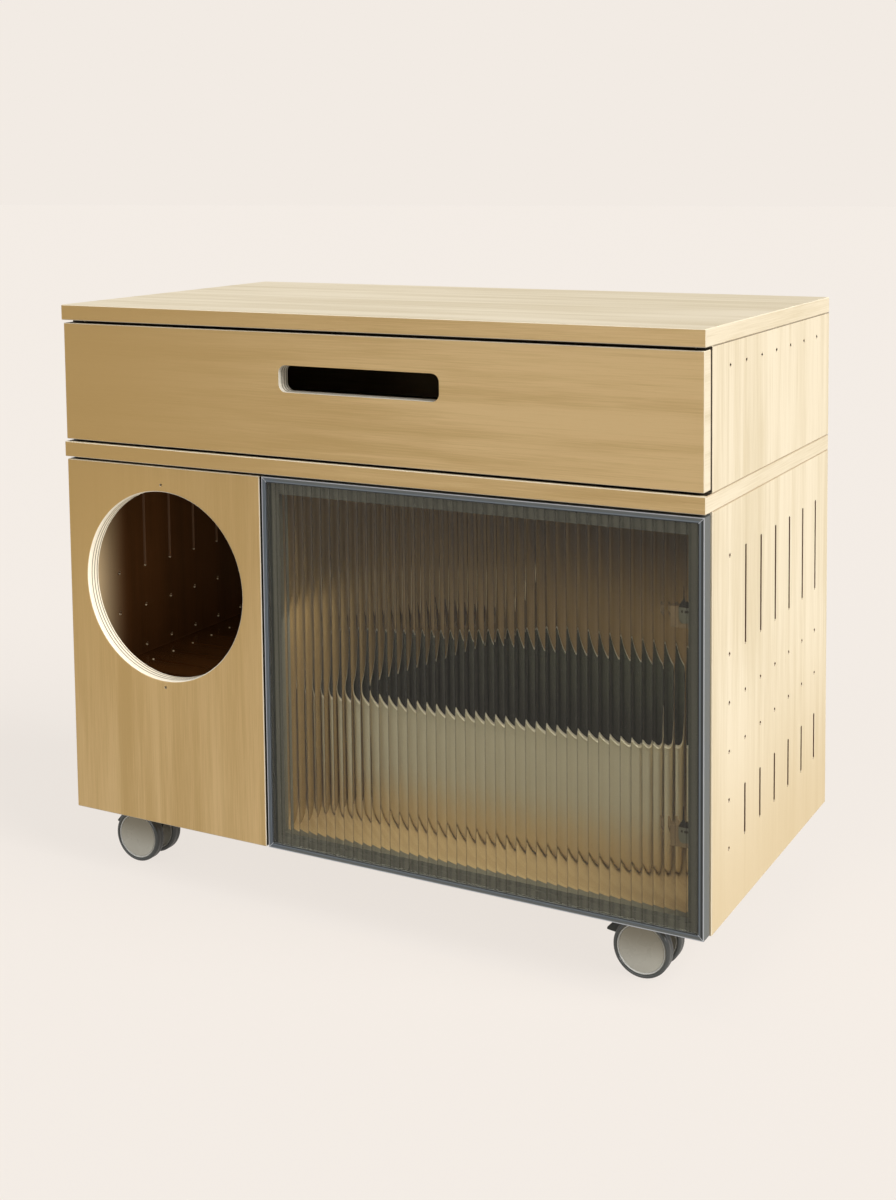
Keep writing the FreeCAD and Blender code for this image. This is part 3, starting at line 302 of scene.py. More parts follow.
def addPiece(name, mesh, material, body, smooth=40.0):
    piece = bpy.data.objects.new(name, mesh)
    bpy.context.scene.collection.objects.link(piece)
    mesh.materials.append(material)
    mesh.polygons.foreach_set("use_smooth", np.ones(len(mesh.polygons), dtype=bool))
    mesh.set_sharp_from_angle(angle=math.radians(smooth))
    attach(piece, body)
    return piece


def lathe(profile, centre, steps):
    # profile rows are (radius, y); each is carried round a line along Y through the centre
    turn = np.linspace(0, 2 * math.pi, steps, endpoint=False)
    radius, y = profile[:, 0, None], profile[:, 1, None]
    points = np.empty((len(profile), steps, 3))
    points[..., 0] = centre[0] + radius * np.cos(turn)
    points[..., 1] = centre[1] + y + 0 * turn
    points[..., 2] = centre[2] + radius * np.sin(turn)
    return points


def corner(middle, radius, start, end, steps):
    # points on an arc, in the plane of a profile
    turn = np.radians(np.linspace(start, end, steps))
    return np.stack([middle[0] + radius * np.cos(turn), middle[1] + radius * np.sin(turn)], axis=1)


# wood
wood = {
    "front": (0.775, 0.540, 0.248),      # tan laminate of the fronts
    "frontDark": (0.600, 0.395, 0.150),
    "frontLeftShade": (0.560, 0.355, 0.118),  # painted shade: the fronts darken towards their left end, away from the window
    "light": (0.830, 0.730, 0.545),      # sides and top
    "lightDark": (0.670, 0.565, 0.375),
    "inside": (0.078, 0.029, 0.008),     # painted shade: near-black tone for the entry bay, seen through the round hole
    "insideDark": (0.050, 0.019, 0.005),
    "lit": (0.640, 0.500, 0.310),        # painted light: daylight on its wall just behind the hole
    "bay": (0.450, 0.330, 0.180),        # painted shade: the plywood of the lower bay behind the pane, darkened; the divider more, the bay floor less
    "bayDark": (0.350, 0.245, 0.120),
    "divider": (0.320, 0.240, 0.130),
    "dividerDark": (0.240, 0.172, 0.086),
    "bayFloor": (0.550, 0.430, 0.260),
    "bayFloorDark": (0.440, 0.330, 0.185),
    # painted highlight: light tone on the bevels
    "edge": (0.800, 0.700, 0.520),
    "joint": (0.400, 0.290, 0.170),      # thin lines where boards meet
    "jointDark": (0.110, 0.065, 0.030),
    "gap": (0.060, 0.040, 0.022),        # board ends inside the shadow gaps
    "gapDark": (0.040, 0.026, 0.014),
    "plyLight": (0.940, 0.880, 0.740),
    "plyDark": (0.150, 0.100, 0.060),
    "bore": (0.190, 0.105, 0.060),       # painted shade on the walls of the vents
    "low": (0.640, 0.500, 0.290),        # the sides turn deeper towards the floor
    "streakLength": 0.55, "streakWidth": 0.020,
    "cloudLength": 0.45, "cloudWidth": 0.11,
    "fibreLength": 0.060, "fibreWidth": 0.0011,
    "poreLength": 0.012, "poreWidth": 0.0006,
    "gapFront": -0.2058, "gapBack": -0.1880,   # the y between which faces lie in the shadow gaps
    "litFront": -0.212, "litBack": -0.122,     # the y between which the painted daylight on the entry wall fades
    "doorGapX": -0.124,                  # the entry board's end beside the door
    "ventReach": 0.189,                  # the vents lie within this distance of the middle, along y
}

openings = {
    # the entry hole with its rounded edge, the finger slot of the drawer, and the plies in their walls
    "holeX": -0.2604, "holeZ": 0.357, "holeRadius": 0.1137,
    "slotX": 0.0065, "slotZ": 0.6082, "slotHalfX": 0.1010, "slotHalfZ": 0.0155,
    "glueLineY": -0.2070, "plyPitch": 0.0045, "pliesMiddle": -0.1980, "pliesHalf": 0.0080,
}


def grainScale(along, length, width):
    return tuple(1 / length if axis == along else 1 / width for axis in "xyz")


def grainNoise(recipe, place, along, size, shift, detail, coarse, distort=0.0):
    scale = grainScale(along, wood[size + "Length"], wood[size + "Width"])
    return recipe.noise(recipe.stretched(place, scale, shift), detail, coarse, distort)


def entryHole(x, z):
    across, up = x - openings["holeX"], z - openings["holeZ"]
    return (across * across + up * up).math("SQRT").below(openings["holeRadius"], 0.0003)


def fingerSlot(x, z):
    across = abs(x - openings["slotX"]).below(openings["slotHalfX"], 0.0003)
    return across * abs(z - openings["slotZ"]).below(openings["slotHalfZ"], 0.0003)


def woodMaterial(name, finish, along, seed, frontFinish=None, innerSide=0, cutout=None, joint=None,
                 darkEnd=False, bored=False, deepFloor=False, deepBack=False, gaps=None, rough=0.42,
                 specular=0.5):
    # finish, frontFinish: a light and a dark tone; innerSide is the x direction that looks into the entry bay,
    # whose wall takes a painted shade with painted light just behind the hole;
    # joint: the tone of bevels that don't face the front, the lines between boards, which leaves the painted
    # highlight on front-facing bevels;
    # darkEnd: the right end is in a shadow gap; bored: the walls of the vents take a painted shade;
    # deepFloor: the tone deepens towards the floor; deepBack: painted shade that deepens up and to the right;
    # gaps: "under" or "both", which faces up and down lie in shadow gaps just behind the front
    recipe = Recipe(name)
    place = recipe.place()
    x, y, z = recipe.split(place)
    nx, ny, nz = recipe.facing()
    if along == "x":                  # the veneer of an end runs front to back
        turned = recipe.add("ShaderNodeCombineXYZ", {}, [y, x, z])
        place = recipe.blend(abs(nx).above(0.90, 0.02), place, turned)
    shift = (seed * 3.7, seed * 1.9, seed * 2.3)
    streaks = grainNoise(recipe, place, along, "streak", shift, 3.0, 0.55, 0.6)
    clouds = grainNoise(recipe, place, along, "cloud", shift, 2.0, 0.5, 0.3)
    fibres = grainNoise(recipe, place, along, "fibre", shift, 2.0, 0.6, 0.15)
    pores = grainNoise(recipe, place, along, "pore", shift, 1.0, 0.5)
    depth = recipe.ramp(streaks * 0.45 + clouds * 0.30 + fibres * 0.25, 0.39, 0.63, 0.0, 1.0)
    look = recipe.blend(depth, wood[finish], wood[finish + "Dark"])
    if deepFloor:
        look = recipe.blend(recipe.ramp(z, 0.330, 0.060, 0.0, 0.80), look, wood["low"])
    if deepBack:
        # painted shade: the back board darkens towards the gap tone, up and to the right
        look = recipe.blend(recipe.ramp(x, -0.16, 0.10, 0.40, 0.92) * z.above(0.320, 0.070), look, wood["gap"])
    if frontFinish:
        tan = recipe.blend(depth, wood[frontFinish], wood[frontFinish + "Dark"])
        if frontFinish == "front":
            # painted shade: the fronts turn darker towards their left end, more so higher up
            high = recipe.ramp(z, 0.080, 0.480, 0.15, 1.0)
            tan = recipe.blend(recipe.ramp(x, -0.40, 0.15, 0.95, 0.0) * high, tan, wood["frontLeftShade"])
        look = recipe.blend((ny * -1.0).above(0.70, 0.05), look, tan)
    if innerSide:
        # painted shade: the inner face of the left side takes the near-black inside tone
        dark = recipe.blend(depth, wood["inside"], wood["insideDark"])
        # painted light: the wall is lighter just behind the hole, fading towards the back
        dark = recipe.blend(recipe.ramp(y, wood["litFront"], wood["litBack"], 1.0, 0.0), dark, wood["lit"])
        look = recipe.blend((nx * innerSide).above(0.70, 0.05), look, dark)
    if darkEnd:
        look = recipe.blend(nx.above(0.70, 0.05) * x.above(wood["doorGapX"], 0.0005), look, wood["gap"])
    if gaps:
        hidden = y.above(wood["gapFront"], 0.0003) * y.below(wood["gapBack"], 0.0005)
        level = abs(nz) if gaps == "both" else nz * -1.0
        look = recipe.blend(level.above(0.90, 0.02) * hidden, look, wood["gapDark"])
    if bored:
        # painted shade: dark walls inside the vent slots
        look = recipe.blend(abs(nx).below(0.55, 0.05) * abs(y).below(wood["ventReach"], 0.0005), look, wood["bore"])
    poreMask = recipe.ramp(pores, 0.62, 0.80, 0.0, 0.14)
    look = recipe.blend(poreMask, look, wood[finish + "Dark"], "MULTIPLY")
    flat = abs(nx).math("MAXIMUM", abs(ny)).math("MAXIMUM", abs(nz))
    bevel = flat.below(0.90, 0.05)
    if joint:
        look = recipe.blend(bevel * 0.75, look, wood[joint])
        bevel = bevel * ny.below(-0.30, 0.05)
    # painted highlight: the bevels take the light edge tone, only the front-facing ones where joint lines are drawn
    look = recipe.blend(bevel, look, wood["edge"])
    if cutout:
        inside = cutout(x, z) * abs(ny).below(0.80, 0.05)
        layers = ((y - openings["glueLineY"]) * (1 / openings["plyPitch"]) + clouds * 0.04).math("FRACT")
        lines = recipe.ramp(abs(layers - 0.5), 0.30, 0.42, 0.0, 0.95)
        lines = lines * abs(y - openings["pliesMiddle"]).below(openings["pliesHalf"], 0.0002)
        look = recipe.blend(inside, look, recipe.blend(lines, wood["plyLight"], wood["plyDark"]))
    return recipe.finish(color=look, roughness=rough + fibres * 0.16, specular=specular,
                         normal=recipe.bump(fibres * 0.6 + pores * 0.4, 0.00012))


# other finishes
finishes = {
    "aluminium": (0.158, 0.168, 0.160),
    "aluminiumCool": (0.140, 0.160, 0.180),
    # painted highlight on the step of the lip
    "aluminiumStepHighlight": (0.240, 0.285, 0.330),
    # painted shade in the recess inside the lip, and along the lip of the right stile
    "aluminiumRecessShade": (0.028, 0.034, 0.042),
    "aluminiumLipShade": (0.045, 0.050, 0.050),
    # painted light and shade: dark and light bands of the flange seen through the flutes
    "flange": (0.096, 0.108, 0.114),
    "flangeLight": (0.152, 0.163, 0.166),
    "channel": (0.014, 0.024, 0.034),    # painted shade: the deep channel beside the left stile
    # painted highlight on the frame's outer edge and mitres
    "aluminiumHighlight": (0.640, 0.660, 0.690),
    "glassTint": (0.83, 0.80, 0.68),
    "glassCrestShade": (0.42, 0.40, 0.34),    # painted shade: the ridges between flutes look darker
    "glassShade": (0.80, 0.76, 0.66),
    "steel": (0.74, 0.74, 0.67),
    "steelDark": (0.58, 0.58, 0.52),
    "steelFloorReflection": (0.600, 0.480, 0.290),  # painted reflection of the wooden floor, low on the wall
    # painted reflection: near-black for the inner wall and floor, the dark hollow they face
    "steelInnerReflection": (0.042, 0.050, 0.036),
    # painted highlight along the rolled rim
    "steelRimHighlight": (0.980, 0.980, 0.940),
    "zinc": (0.46, 0.46, 0.45),
    "plastic": (0.045, 0.050, 0.045),
    "tread": (0.085, 0.092, 0.088),
    "disc": (0.64, 0.62, 0.53),
    "discTopReflection": (0.36, 0.325, 0.245),     # painted reflection: the disc is darker and warmer near its top
    # painted highlight on the bevel round the disc
    "discRingHighlight": (0.80, 0.80, 0.76),
    "hinge": (0.270, 0.205, 0.135),
}


def metalMaterial(name, base, rough, along, metallic=1.0):
    recipe = Recipe(name)
    place = recipe.place()
    brushed = recipe.noise(recipe.stretched(place, grainScale(along, 0.05, 0.0004)), 2.0, 0.6)
    patches = recipe.noise(recipe.stretched(place, (14, 14, 14)), 2.0, 0.5)
    look = recipe.blend(recipe.ramp(brushed, 0.3, 0.7, 0.0, 0.25), base, tuple(c * 0.72 for c in base))
    look = recipe.blend(recipe.ramp(patches, 0.35, 0.7, 0.0, 0.12), look, tuple(min(1, c * 1.25) for c in base))
    return recipe.finish(color=look, metallic=metallic, roughness=rough + (brushed - 0.5) * 0.12,
                         normal=recipe.bump(brushed, 0.00004))


def plasticMaterial(name, base, rough, specular=0.5, coat=0.0):
    recipe = Recipe(name)
    place = recipe.place()
    pebble = recipe.noise(recipe.stretched(place, (1 / 0.0012,) * 3), 2.0, 0.6)
    broad = recipe.noise(recipe.stretched(place, (30, 30, 30)), 3.0, 0.55)
    look = recipe.blend(recipe.ramp(broad, 0.35, 0.7, 0.0, 0.35), base, tuple(c * 0.78 for c in base))
    return recipe.finish(color=look, roughness=rough + (broad - 0.5) * 0.12,
                         normal=recipe.bump(pebble, 0.00003), specular=specular, coat=coat, coatRoughness=0.15)


# door: its frame and the fluted pane, in metres
doorFrame = {
    "middleX": 0.1391, "halfX": 0.2589, "middleZ": 0.28485, "halfZ": 0.21235,
    "front": -0.2083, "flange": -0.2035,           # y of the front, and of the step that holds the pane
    "line": 0.0009, "mitre": 0.00045,              # width of the painted highlight line at the edge, half width at a mitre
    "darkAt": 0.0022, "darkHalf": 0.0011,          # painted shade: a dark line on the right stile, from the outer edge
    "stepAt": 0.0043, "recessFrom": 0.0053,        # painted highlight on the step and painted shade in the recess, from the outer edge
    "channelX": -0.1116, "channelHalf": 0.0021,    # painted shade: deep channel beside the left stile
}

pane = {
    "left": -0.1135, "right": 0.3917, "low": 0.0788, "high": 0.4909,
    "back": -0.20395, "ridge": -0.2080,            # y of the flat back and of the ridges between flutes
    "flutes": 43, "firstFlute": -0.112645,         # how many, and the x where the first one starts
    "chord": 0.01083, "pitch": 0.01173, "depth": 0.00150,
    "steps": 15,
}


def glazingLook(recipe, x):
    # grey under the flutes with painted light and shade: a light and a dark band for each flute, and painted shade
    # in a deep channel at the left
    band = ((x - pane["firstFlute"]) * (1 / pane["pitch"])).math("FRACT")
    share = recipe.noise(recipe.stretched(recipe.place(), (60, 60, 2.5)), 2.0, 0.6)
    light = recipe.ramp(abs(band - 0.5), 0.10, 0.42, 1.0, 0.0) * recipe.ramp(share, 0.35, 0.60, 0.35, 1.0)
    look = recipe.blend(light, finishes["flange"], finishes["flangeLight"])
    channel = abs(x - doorFrame["channelX"]).below(doorFrame["channelHalf"], 0.0005)
    return recipe.blend(channel, look, finishes["channel"])


def tapeMaterial():
    # glazing tape behind the edge of the pane, with the same painted bands and channel shade
    recipe = Recipe("glazingTape")
    place = recipe.place()
    grain = recipe.noise(recipe.stretched(place, (800, 800, 800)), 2.0, 0.6)
    return recipe.finish(color=glazingLook(recipe, recipe.split(place)[0]), roughness=0.50 + (grain - 0.5) * 0.1,
                         normal=recipe.bump(grain, 0.00002))


def frameMaterial():
    # grey aluminium with a painted highlight line along the outer edge and at each mitre
    recipe = Recipe("doorAluminium")
    place = recipe.place()
    x, y, z = recipe.split(place)
    ny = recipe.facing()[1]
    brushed = recipe.noise(recipe.stretched(place, (25, 25, 25)), 3.0, 0.6)
    fine = recipe.noise(recipe.stretched(place, (900, 900, 900)), 1.0, 0.5)
    fromSide = doorFrame["halfX"] - abs(x - doorFrame["middleX"])
    fromEnd = doorFrame["halfZ"] - abs(z - doorFrame["middleZ"])
    edge = fromSide.math("MINIMUM", fromEnd)
    front = y.below(doorFrame["front"], 0.0002)
    line = edge.below(doorFrame["line"], 0.0003) * front
    mitre = abs(fromSide - fromEnd).below(doorFrame["mitre"], 0.0002) * front
    atLeft = x.below(-0.100, 0.010)
    cool = recipe.ramp(brushed, 0.35, 0.7, 0.0, 0.3).math("MAXIMUM", atLeft)
    look = recipe.blend(cool, finishes["aluminium"], finishes["aluminiumCool"])
    # painted shade along the lip on the right stile
    dark = abs(fromSide - doorFrame["darkAt"]).below(doorFrame["darkHalf"], 0.0004) * front * x.above(0.30, 0.01)
    look = recipe.blend(dark, look, finishes["aluminiumLipShade"])
    # painted highlight on the step, painted shade in the recess
    step = recipe.ramp(abs(edge - doorFrame["stepAt"]), 0.0005, 0.0009, 0.7, 0.0) * front
    recess = edge.above(doorFrame["recessFrom"], 0.0002) * front
    look = recipe.blend(step, look, finishes["aluminiumStepHighlight"])
    look = recipe.blend(recess, look, finishes["aluminiumRecessShade"])
    flange = y.above(doorFrame["flange"], 0.0003) * (ny * -1.0).above(0.7, 0.05)
    # the flange behind the pane takes the painted bands
    look = recipe.blend(flange, look, glazingLook(recipe, x))
    # painted highlight along the outer front edge and the mitres
    look = recipe.blend(line.math("MAXIMUM", mitre) * 0.95, look, finishes["aluminiumHighlight"])
    return recipe.finish(color=look, metallic=0.15, roughness=0.40 + (fine - 0.5) * 0.1,
                         normal=recipe.bump(fine, 0.00002))


def glassMaterial():
    # rays from lamps go straight through, so the bay is lit through the pane
    recipe = Recipe("smokedGlass")
    ripple = recipe.noise(recipe.stretched(recipe.place(), (45, 45, 9)), 2.0, 0.5)
    crest = recipe.split(recipe.place())[1].below(pane["ridge"] + 0.00014, 0.00008)
    # painted shade: the glass tint darkens along the ridges
    tint = recipe.blend(crest, finishes["glassTint"], finishes["glassCrestShade"])
    recipe.finish(color=tint, roughness=0.02, transmission=1.0, ior=1.5,
                  specular=0.04, normal=recipe.bump(ripple, 0.00010))
    lampRay = recipe.add("ShaderNodeLightPath", {}, {}, "Is Shadow Ray")
    clear = recipe.add("ShaderNodeBsdfTransparent", {}, {"Color": (*finishes["glassShade"], 1)})
    solid = Signal(recipe, recipe.shader.outputs[0])
    both = recipe.add("ShaderNodeMixShader", {}, [lampRay, solid, clear])
    recipe.tree.links.new(both.socket, recipe.tree.nodes["Material Output"].inputs["Surface"])
    return recipe.material


def flutedPane():
    # hollow flutes: y follows a circle of radius (chord^2 / 4 + depth^2) / (2 depth) across each chord,
    # and a small round crest joins one flute to the next with the same slope
    radius = (pane["chord"] ** 2 / 4 + pane["depth"] ** 2) / (2 * pane["depth"])
    slope = math.asin(pane["chord"] / 2 / radius)
    turn = np.linspace(-slope, slope, pane["steps"])
    land = pane["pitch"] - pane["chord"]
    crest = land / 2 / math.sin(slope)
    bend = np.linspace(-slope, slope, 5)[1:-1]
    offsets = np.concatenate([pane["chord"] / 2 + radius * np.sin(turn),
                              pane["chord"] + land / 2 + crest * np.sin(bend)])
    depths = np.concatenate([radius * np.cos(turn) - radius * math.cos(slope),
                             crest * math.cos(slope) - crest * np.cos(bend)])
    starts = pane["firstFlute"] + pane["pitch"] * np.arange(pane["flutes"])
    x = (starts[:, None] + offsets[None, :]).ravel()
    y = np.tile(pane["ridge"] + depths, pane["flutes"])
    keep = (x > pane["left"] + 0.0002) & (x < pane["right"] - 0.0002)
    x = np.concatenate([[pane["left"]], x[keep], [pane["right"]]])
    y = np.concatenate([[pane["ridge"]], y[keep], [pane["ridge"]]])
    points = np.empty((len(x), 4, 3))
    points[..., 0] = x[:, None]
    points[..., 1] = np.stack([y, y, np.full_like(y, pane["back"]), np.full_like(y, pane["back"])], axis=1)
    points[..., 2] = np.array([pane["low"], pane["high"], pane["high"], pane["low"]])
    mesh = gridMesh("flutedPane", points[:, ::-1], closeAcross=True, capStart=True, capEnd=True)
    piece = addPiece("door_pane_fluted", mesh, glass, "door", 25.0)
    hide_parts("door_glass")


# litter tray, one shell: its underside, up the outer wall, over the rolled rim and down to the floor
tray = {
    "middle": (0.1192, 0.0225), "half": (0.2245, 0.1525), "corner": 0.045,
    "low": 0.0893, "high": 0.2333,
    "draft": 0.007, "wall": 0.002, "foot": 0.010,  # lean of the wall, sheet thickness, round of the foot
    "rimOut": 0.005, "rimRound": 0.0018, "steps": 14,
}


def trayMaterial():
    # brushed steel with painted reflections: near-black on the inner wall and floor for the dark hollow they face,
    # the wooden floor's warm tone low on the outer wall, and a painted highlight along the rim
    recipe = Recipe("brushedSteel")
    place = recipe.place()
    x, y, z = recipe.split(place)
    nx, ny, nz = recipe.facing()
    brushed = recipe.noise(recipe.stretched(place, (8, 8, 2200)), 2.0, 0.6)
    inward = ((x - tray["middle"][0]) * nx + (y - tray["middle"][1]) * ny).below(-0.01, 0.01)
    inner = inward.math("MAXIMUM", nz.above(0.9, 0.05) * z.below(0.20, 0.01))
    look = recipe.blend(recipe.ramp(brushed, 0.3, 0.7, 0.0, 0.18), finishes["steel"], finishes["steelDark"])
    # painted reflection: the lower outer wall takes the warm tone of the wooden floor
    look = recipe.blend(recipe.ramp(z, 0.170, 0.095, 0.0, 0.65), look, finishes["steelFloorReflection"])
    # painted reflection: the inner wall and floor take the near-black tone
    look = recipe.blend(inner, look, finishes["steelInnerReflection"])
    # painted highlight: a thin near-white band along the top of the rim
    look = recipe.blend(z.above(tray["high"] - 0.0009, 0.0003), look, finishes["steelRimHighlight"])
    return recipe.finish(color=look, metallic=0.75, roughness=0.40 + (brushed - 0.5) * 0.12,
                         normal=recipe.bump(brushed * (1 - inner), 0.00003))


def roundedLoop(inset, z):
    # a rectangle with round corners, drawn in by inset
    halfX, halfY, radius = tray["half"][0] - inset, tray["half"][1] - inset, max(tray["corner"] - inset, 0.004)
    turn = np.linspace(0, math.pi / 2, tray["steps"])
    parts = []
    for quarter, (signX, signY) in enumerate(((1, 1), (-1, 1), (-1, -1), (1, -1))):
        angle = turn + quarter * math.pi / 2
        parts.append(np.stack([tray["middle"][0] + signX * (halfX - radius) + radius * np.cos(angle),
                               tray["middle"][1] + signY * (halfY - radius) + radius * np.sin(angle),
                               np.full_like(angle, z)], axis=1))
    return np.concatenate(parts)


def steelTray():
    # each row is (inset, height); the foot and the rolled rim are quarter and half circles
    low, high, foot, wall = tray["low"], tray["high"], tray["foot"], tray["wall"]
    curl = tray["rimRound"]
    rows = [(0.5 * tray["half"][1], low)]
    rows += [(tray["draft"] + foot - foot * math.sin(a), low + foot - foot * math.cos(a))
             for a in np.linspace(0.0, math.pi / 2 * 0.97, 7)]
    rows += [(0.0, high - 2.2 * curl)]
    rows += [(-tray["rimOut"] + curl - curl * math.sin(a), high - curl - curl * math.cos(a))
             for a in np.linspace(0.1, math.pi - 0.1, 8)]
    rows += [(wall - 0.0006, high), (wall, high - 0.0008)]
    rows += [(tray["draft"] + wall + foot - foot * math.sin(a), low + wall + foot - foot * math.cos(a))
             for a in np.linspace(math.pi / 2 * 0.97, 0.0, 7)]
    rows += [(0.5 * tray["half"][1], low + wall)]
    points = np.stack([roundedLoop(inset, z) for inset, z in rows])
    mesh = gridMesh("steelTray", points, closeAcross=True, capStart=True, capEnd=True)
    piece = addPiece("litter_tray_pressed", mesh, trayMaterial(), "tray", 50.0)
    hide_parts("litter_tray")


# casters
caster = {
    "swivelX": 0.328, "swivelY": 0.1485,           # the swivel's line, from the middle of the cabinet
    "trail": 0.0115, "axle": 0.0315,               # how far the axle stands to its left, and how high
    "radius": 0.0315, "rimRadius": 0.0270,
    "nearFace": 0.0235, "farFace": 0.0090,         # both faces of a wheel, from the middle of its caster
    "round": 0.0034, "dome": 0.0016, "rings": 64,
}


def discMaterial():
    # satin disc with a painted highlight ring on its bevel, measured from the axle of its own caster
    recipe = Recipe("discPlastic")
    x, _, z = recipe.split(recipe.place())
    broad = recipe.noise(recipe.stretched(recipe.place(), (30, 30, 30)), 3.0, 0.55)
    across, up = abs(x + caster["trail"]) - caster["swivelX"], z - caster["axle"]
    radius = (across * across + up * up).math("SQRT")
    # painted reflection: darker and warmer towards the top of the disc
    look = recipe.blend(recipe.ramp(up, -0.020, 0.020, 0.0, 1.0), finishes["disc"], finishes["discTopReflection"])
    look = recipe.blend(recipe.ramp(broad, 0.35, 0.7, 0.0, 0.15), look, finishes["discTopReflection"])
    # painted highlight: a thin light ring on the bevel
    bevel = radius.above(caster["rimRadius"] - 0.0018, 0.0002) * radius.below(caster["rimRadius"] - 0.0006, 0.0002)
    look = recipe.blend(bevel, look, finishes["discRingHighlight"])
    return recipe.finish(color=look, roughness=0.28 + (broad - 0.5) * 0.12,
                         normal=recipe.bump(broad, 0.00002))


def tyreProfile(sign):
    # rows of (radius, y) from the bore round the tread and back
    out, bore, edge = caster["radius"], caster["rimRadius"], caster["round"]
    near, far = caster["nearFace"], caster["farFace"]
    outside = corner((out - edge, near - edge), edge, 90, 10, 9)
    inside = corner((out - edge, far + edge), edge, -10, -90, 9)
    middle = (near + far) / 2     # a fine parting groove runs round here
    groove = [(out, near - edge - 0.0010), (out - 0.0002, middle + 0.0012), (out - 0.0006, middle),
              (out - 0.0002, middle - 0.0012), (out, far + edge + 0.0010)]
    rows = np.concatenate([[(bore, near - 0.0012)], [(bore + 0.0007, near - 0.0002)], outside, groove, inside,
                           [(bore + 0.0007, far + 0.0002)], [(bore, far + 0.0012)]])
    rows[:, 1] *= sign
    return rows


def discProfile(sign):
    # a shallow dome inside a bevelled ring that carries a painted highlight, with a boss on the inner face
    bore, near, far = caster["rimRadius"], caster["nearFace"], caster["farFace"]
    radius = np.linspace(0.0001, bore - 0.0022, 16)
    dome = near - 0.0016 + caster["dome"] * (1 - (radius / bore) ** 2)
    ring = [(bore - 0.0019, near - 0.0022), (bore - 0.0015, near - 0.0012), (bore - 0.0007, near - 0.0005),
            (bore, near - 0.0012)]
    inner = [(bore, far + 0.0012), (bore - 0.0008, far + 0.0004), (bore - 0.0018, far + 0.0060),
             (0.0120, far + 0.0064), (0.0100, far + 0.0004), (0.0001, far + 0.0004)]
    rows = np.concatenate([np.stack([radius, dome], axis=1), ring, inner])
    rows[:, 1] *= sign
    return rows


def turnedMesh(name, profile, middle, sign, closed):
    points = lathe(profile, middle, caster["rings"])
    if sign < 0:
        points = points[::-1]
    return gridMesh(name, points, closeAcross=True, closeAlong=closed, capStart=not closed, capEnd=not closed)


def buildWheels():
    for row, rowY in (("front", -1), ("rear", 1)):
        for side, sideX in (("left", -1), ("right", 1)):
            middle = (sideX * caster["swivelX"] - caster["trail"], rowY * caster["swivelY"], caster["axle"])
            for place, sign in (("outer", -1), ("inner", 1)):
                body = f"wheel_{row}_{side}_{place}"
                tyre = addPiece(f"tyre_round_{row}_{side}_{place}",
                                turnedMesh("tyre", tyreProfile(sign), middle, sign, True), tread, body)
                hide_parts(f"tyre_{row}_{side}_{place}")
                cover = addPiece(f"disc_domed_{row}_{side}_{place}",
                                 turnedMesh("disc", discProfile(sign), middle, sign, False), disc, body, 30.0)
                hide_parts(f"disc_{row}_{side}_{place}")


# brake pedals
brake = {
    # sections from the pivot to the tip: along -X from the swivel, middle height, half height, half width
    "sections": ((0.0115, 0.0515, 0.0030, 0.0052), (0.0180, 0.0525, 0.0046, 0.0060),
                 (0.0250, 0.0515, 0.0052, 0.0060), (0.0330, 0.0480, 0.0080, 0.0060),
                 (0.0400, 0.0440, 0.0102, 0.0058), (0.0455, 0.0418, 0.0086, 0.0053),
                 (0.0505, 0.0395, 0.0058, 0.0046), (0.0550, 0.0372, 0.0031, 0.0036),
                 (0.0580, 0.0358, 0.0013, 0.0024)),
    "around": 28, "stations": 40,
}


def buildBrakes():
    # ovals of power 3 stand across a line of stations; their sizes run straight from one section to the next
    # and are then softened with a five-point average
    around = np.linspace(0, 2 * math.pi, brake["around"], endpoint=False)
    ring = np.stack([np.sign(np.cos(around)) * np.abs(np.cos(around)) ** (2 / 3),
                     np.sign(np.sin(around)) * np.abs(np.sin(around)) ** (2 / 3)], axis=1)
    sections = np.array(brake["sections"])
    wanted = np.linspace(sections[0, 0], sections[-1, 0], brake["stations"])
    soften = np.array([1, 2, 3, 2, 1]) / 9
    plain = [np.interp(wanted, sections[:, 0], sections[:, i]) for i in (1, 2, 3)]
    middle, high, wide = (np.concatenate([v[:2], np.convolve(v, soften, "valid"), v[-2:]]) for v in plain)
    for side, sideX in (("left", -1), ("right", 1)):
        points = np.empty((len(wanted), len(ring), 3))
        points[..., 0] = sideX * caster["swivelX"] - wanted[:, None]
        points[..., 1] = -caster["swivelY"] + wide[:, None] * ring[:, 0]
        points[..., 2] = middle[:, None] + high[:, None] * ring[:, 1]
        mesh = gridMesh("brake", points[:, ::-1], closeAcross=True, capStart=True, capEnd=True)
        piece = addPiece(f"brake_pedal_{side}", mesh, plastic, f"pedal_front_{side}", 60.0)
        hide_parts(f"brake_front_{side}")


# hinge covers behind the pane
hinge = {
    "middle": 0.3757, "rightHalf": 0.0036, "heights": (0.1775, 0.3995), "between": 0.284,
    "front": -0.2035, "back": -0.2026,
    # rows from the foot to the tip of the cap: height over the hinge, half width
    "rows": ((-0.0100, 0.0022), (-0.0095, 0.0038), (-0.0082, 0.0052), (-0.0062, 0.0060), (-0.0040, 0.0063),
             (0.0000, 0.0064), (0.0055, 0.0064), (0.0062, 0.0062), (0.0085, 0.0050), (0.0108, 0.0034),
             (0.0128, 0.0018), (0.0145, 0.0009), (0.0200, 0.0006), (0.0275, 0.0003)),
    "columns": 9, "capFrom": 0.0058, "screws": ((-0.0022, 0.0018), (0.0022, 0.0018)), "screwRound": 0.0014,
    "grey": (0.175, 0.190, 0.175), "dark": (0.006, 0.005, 0.004),
}


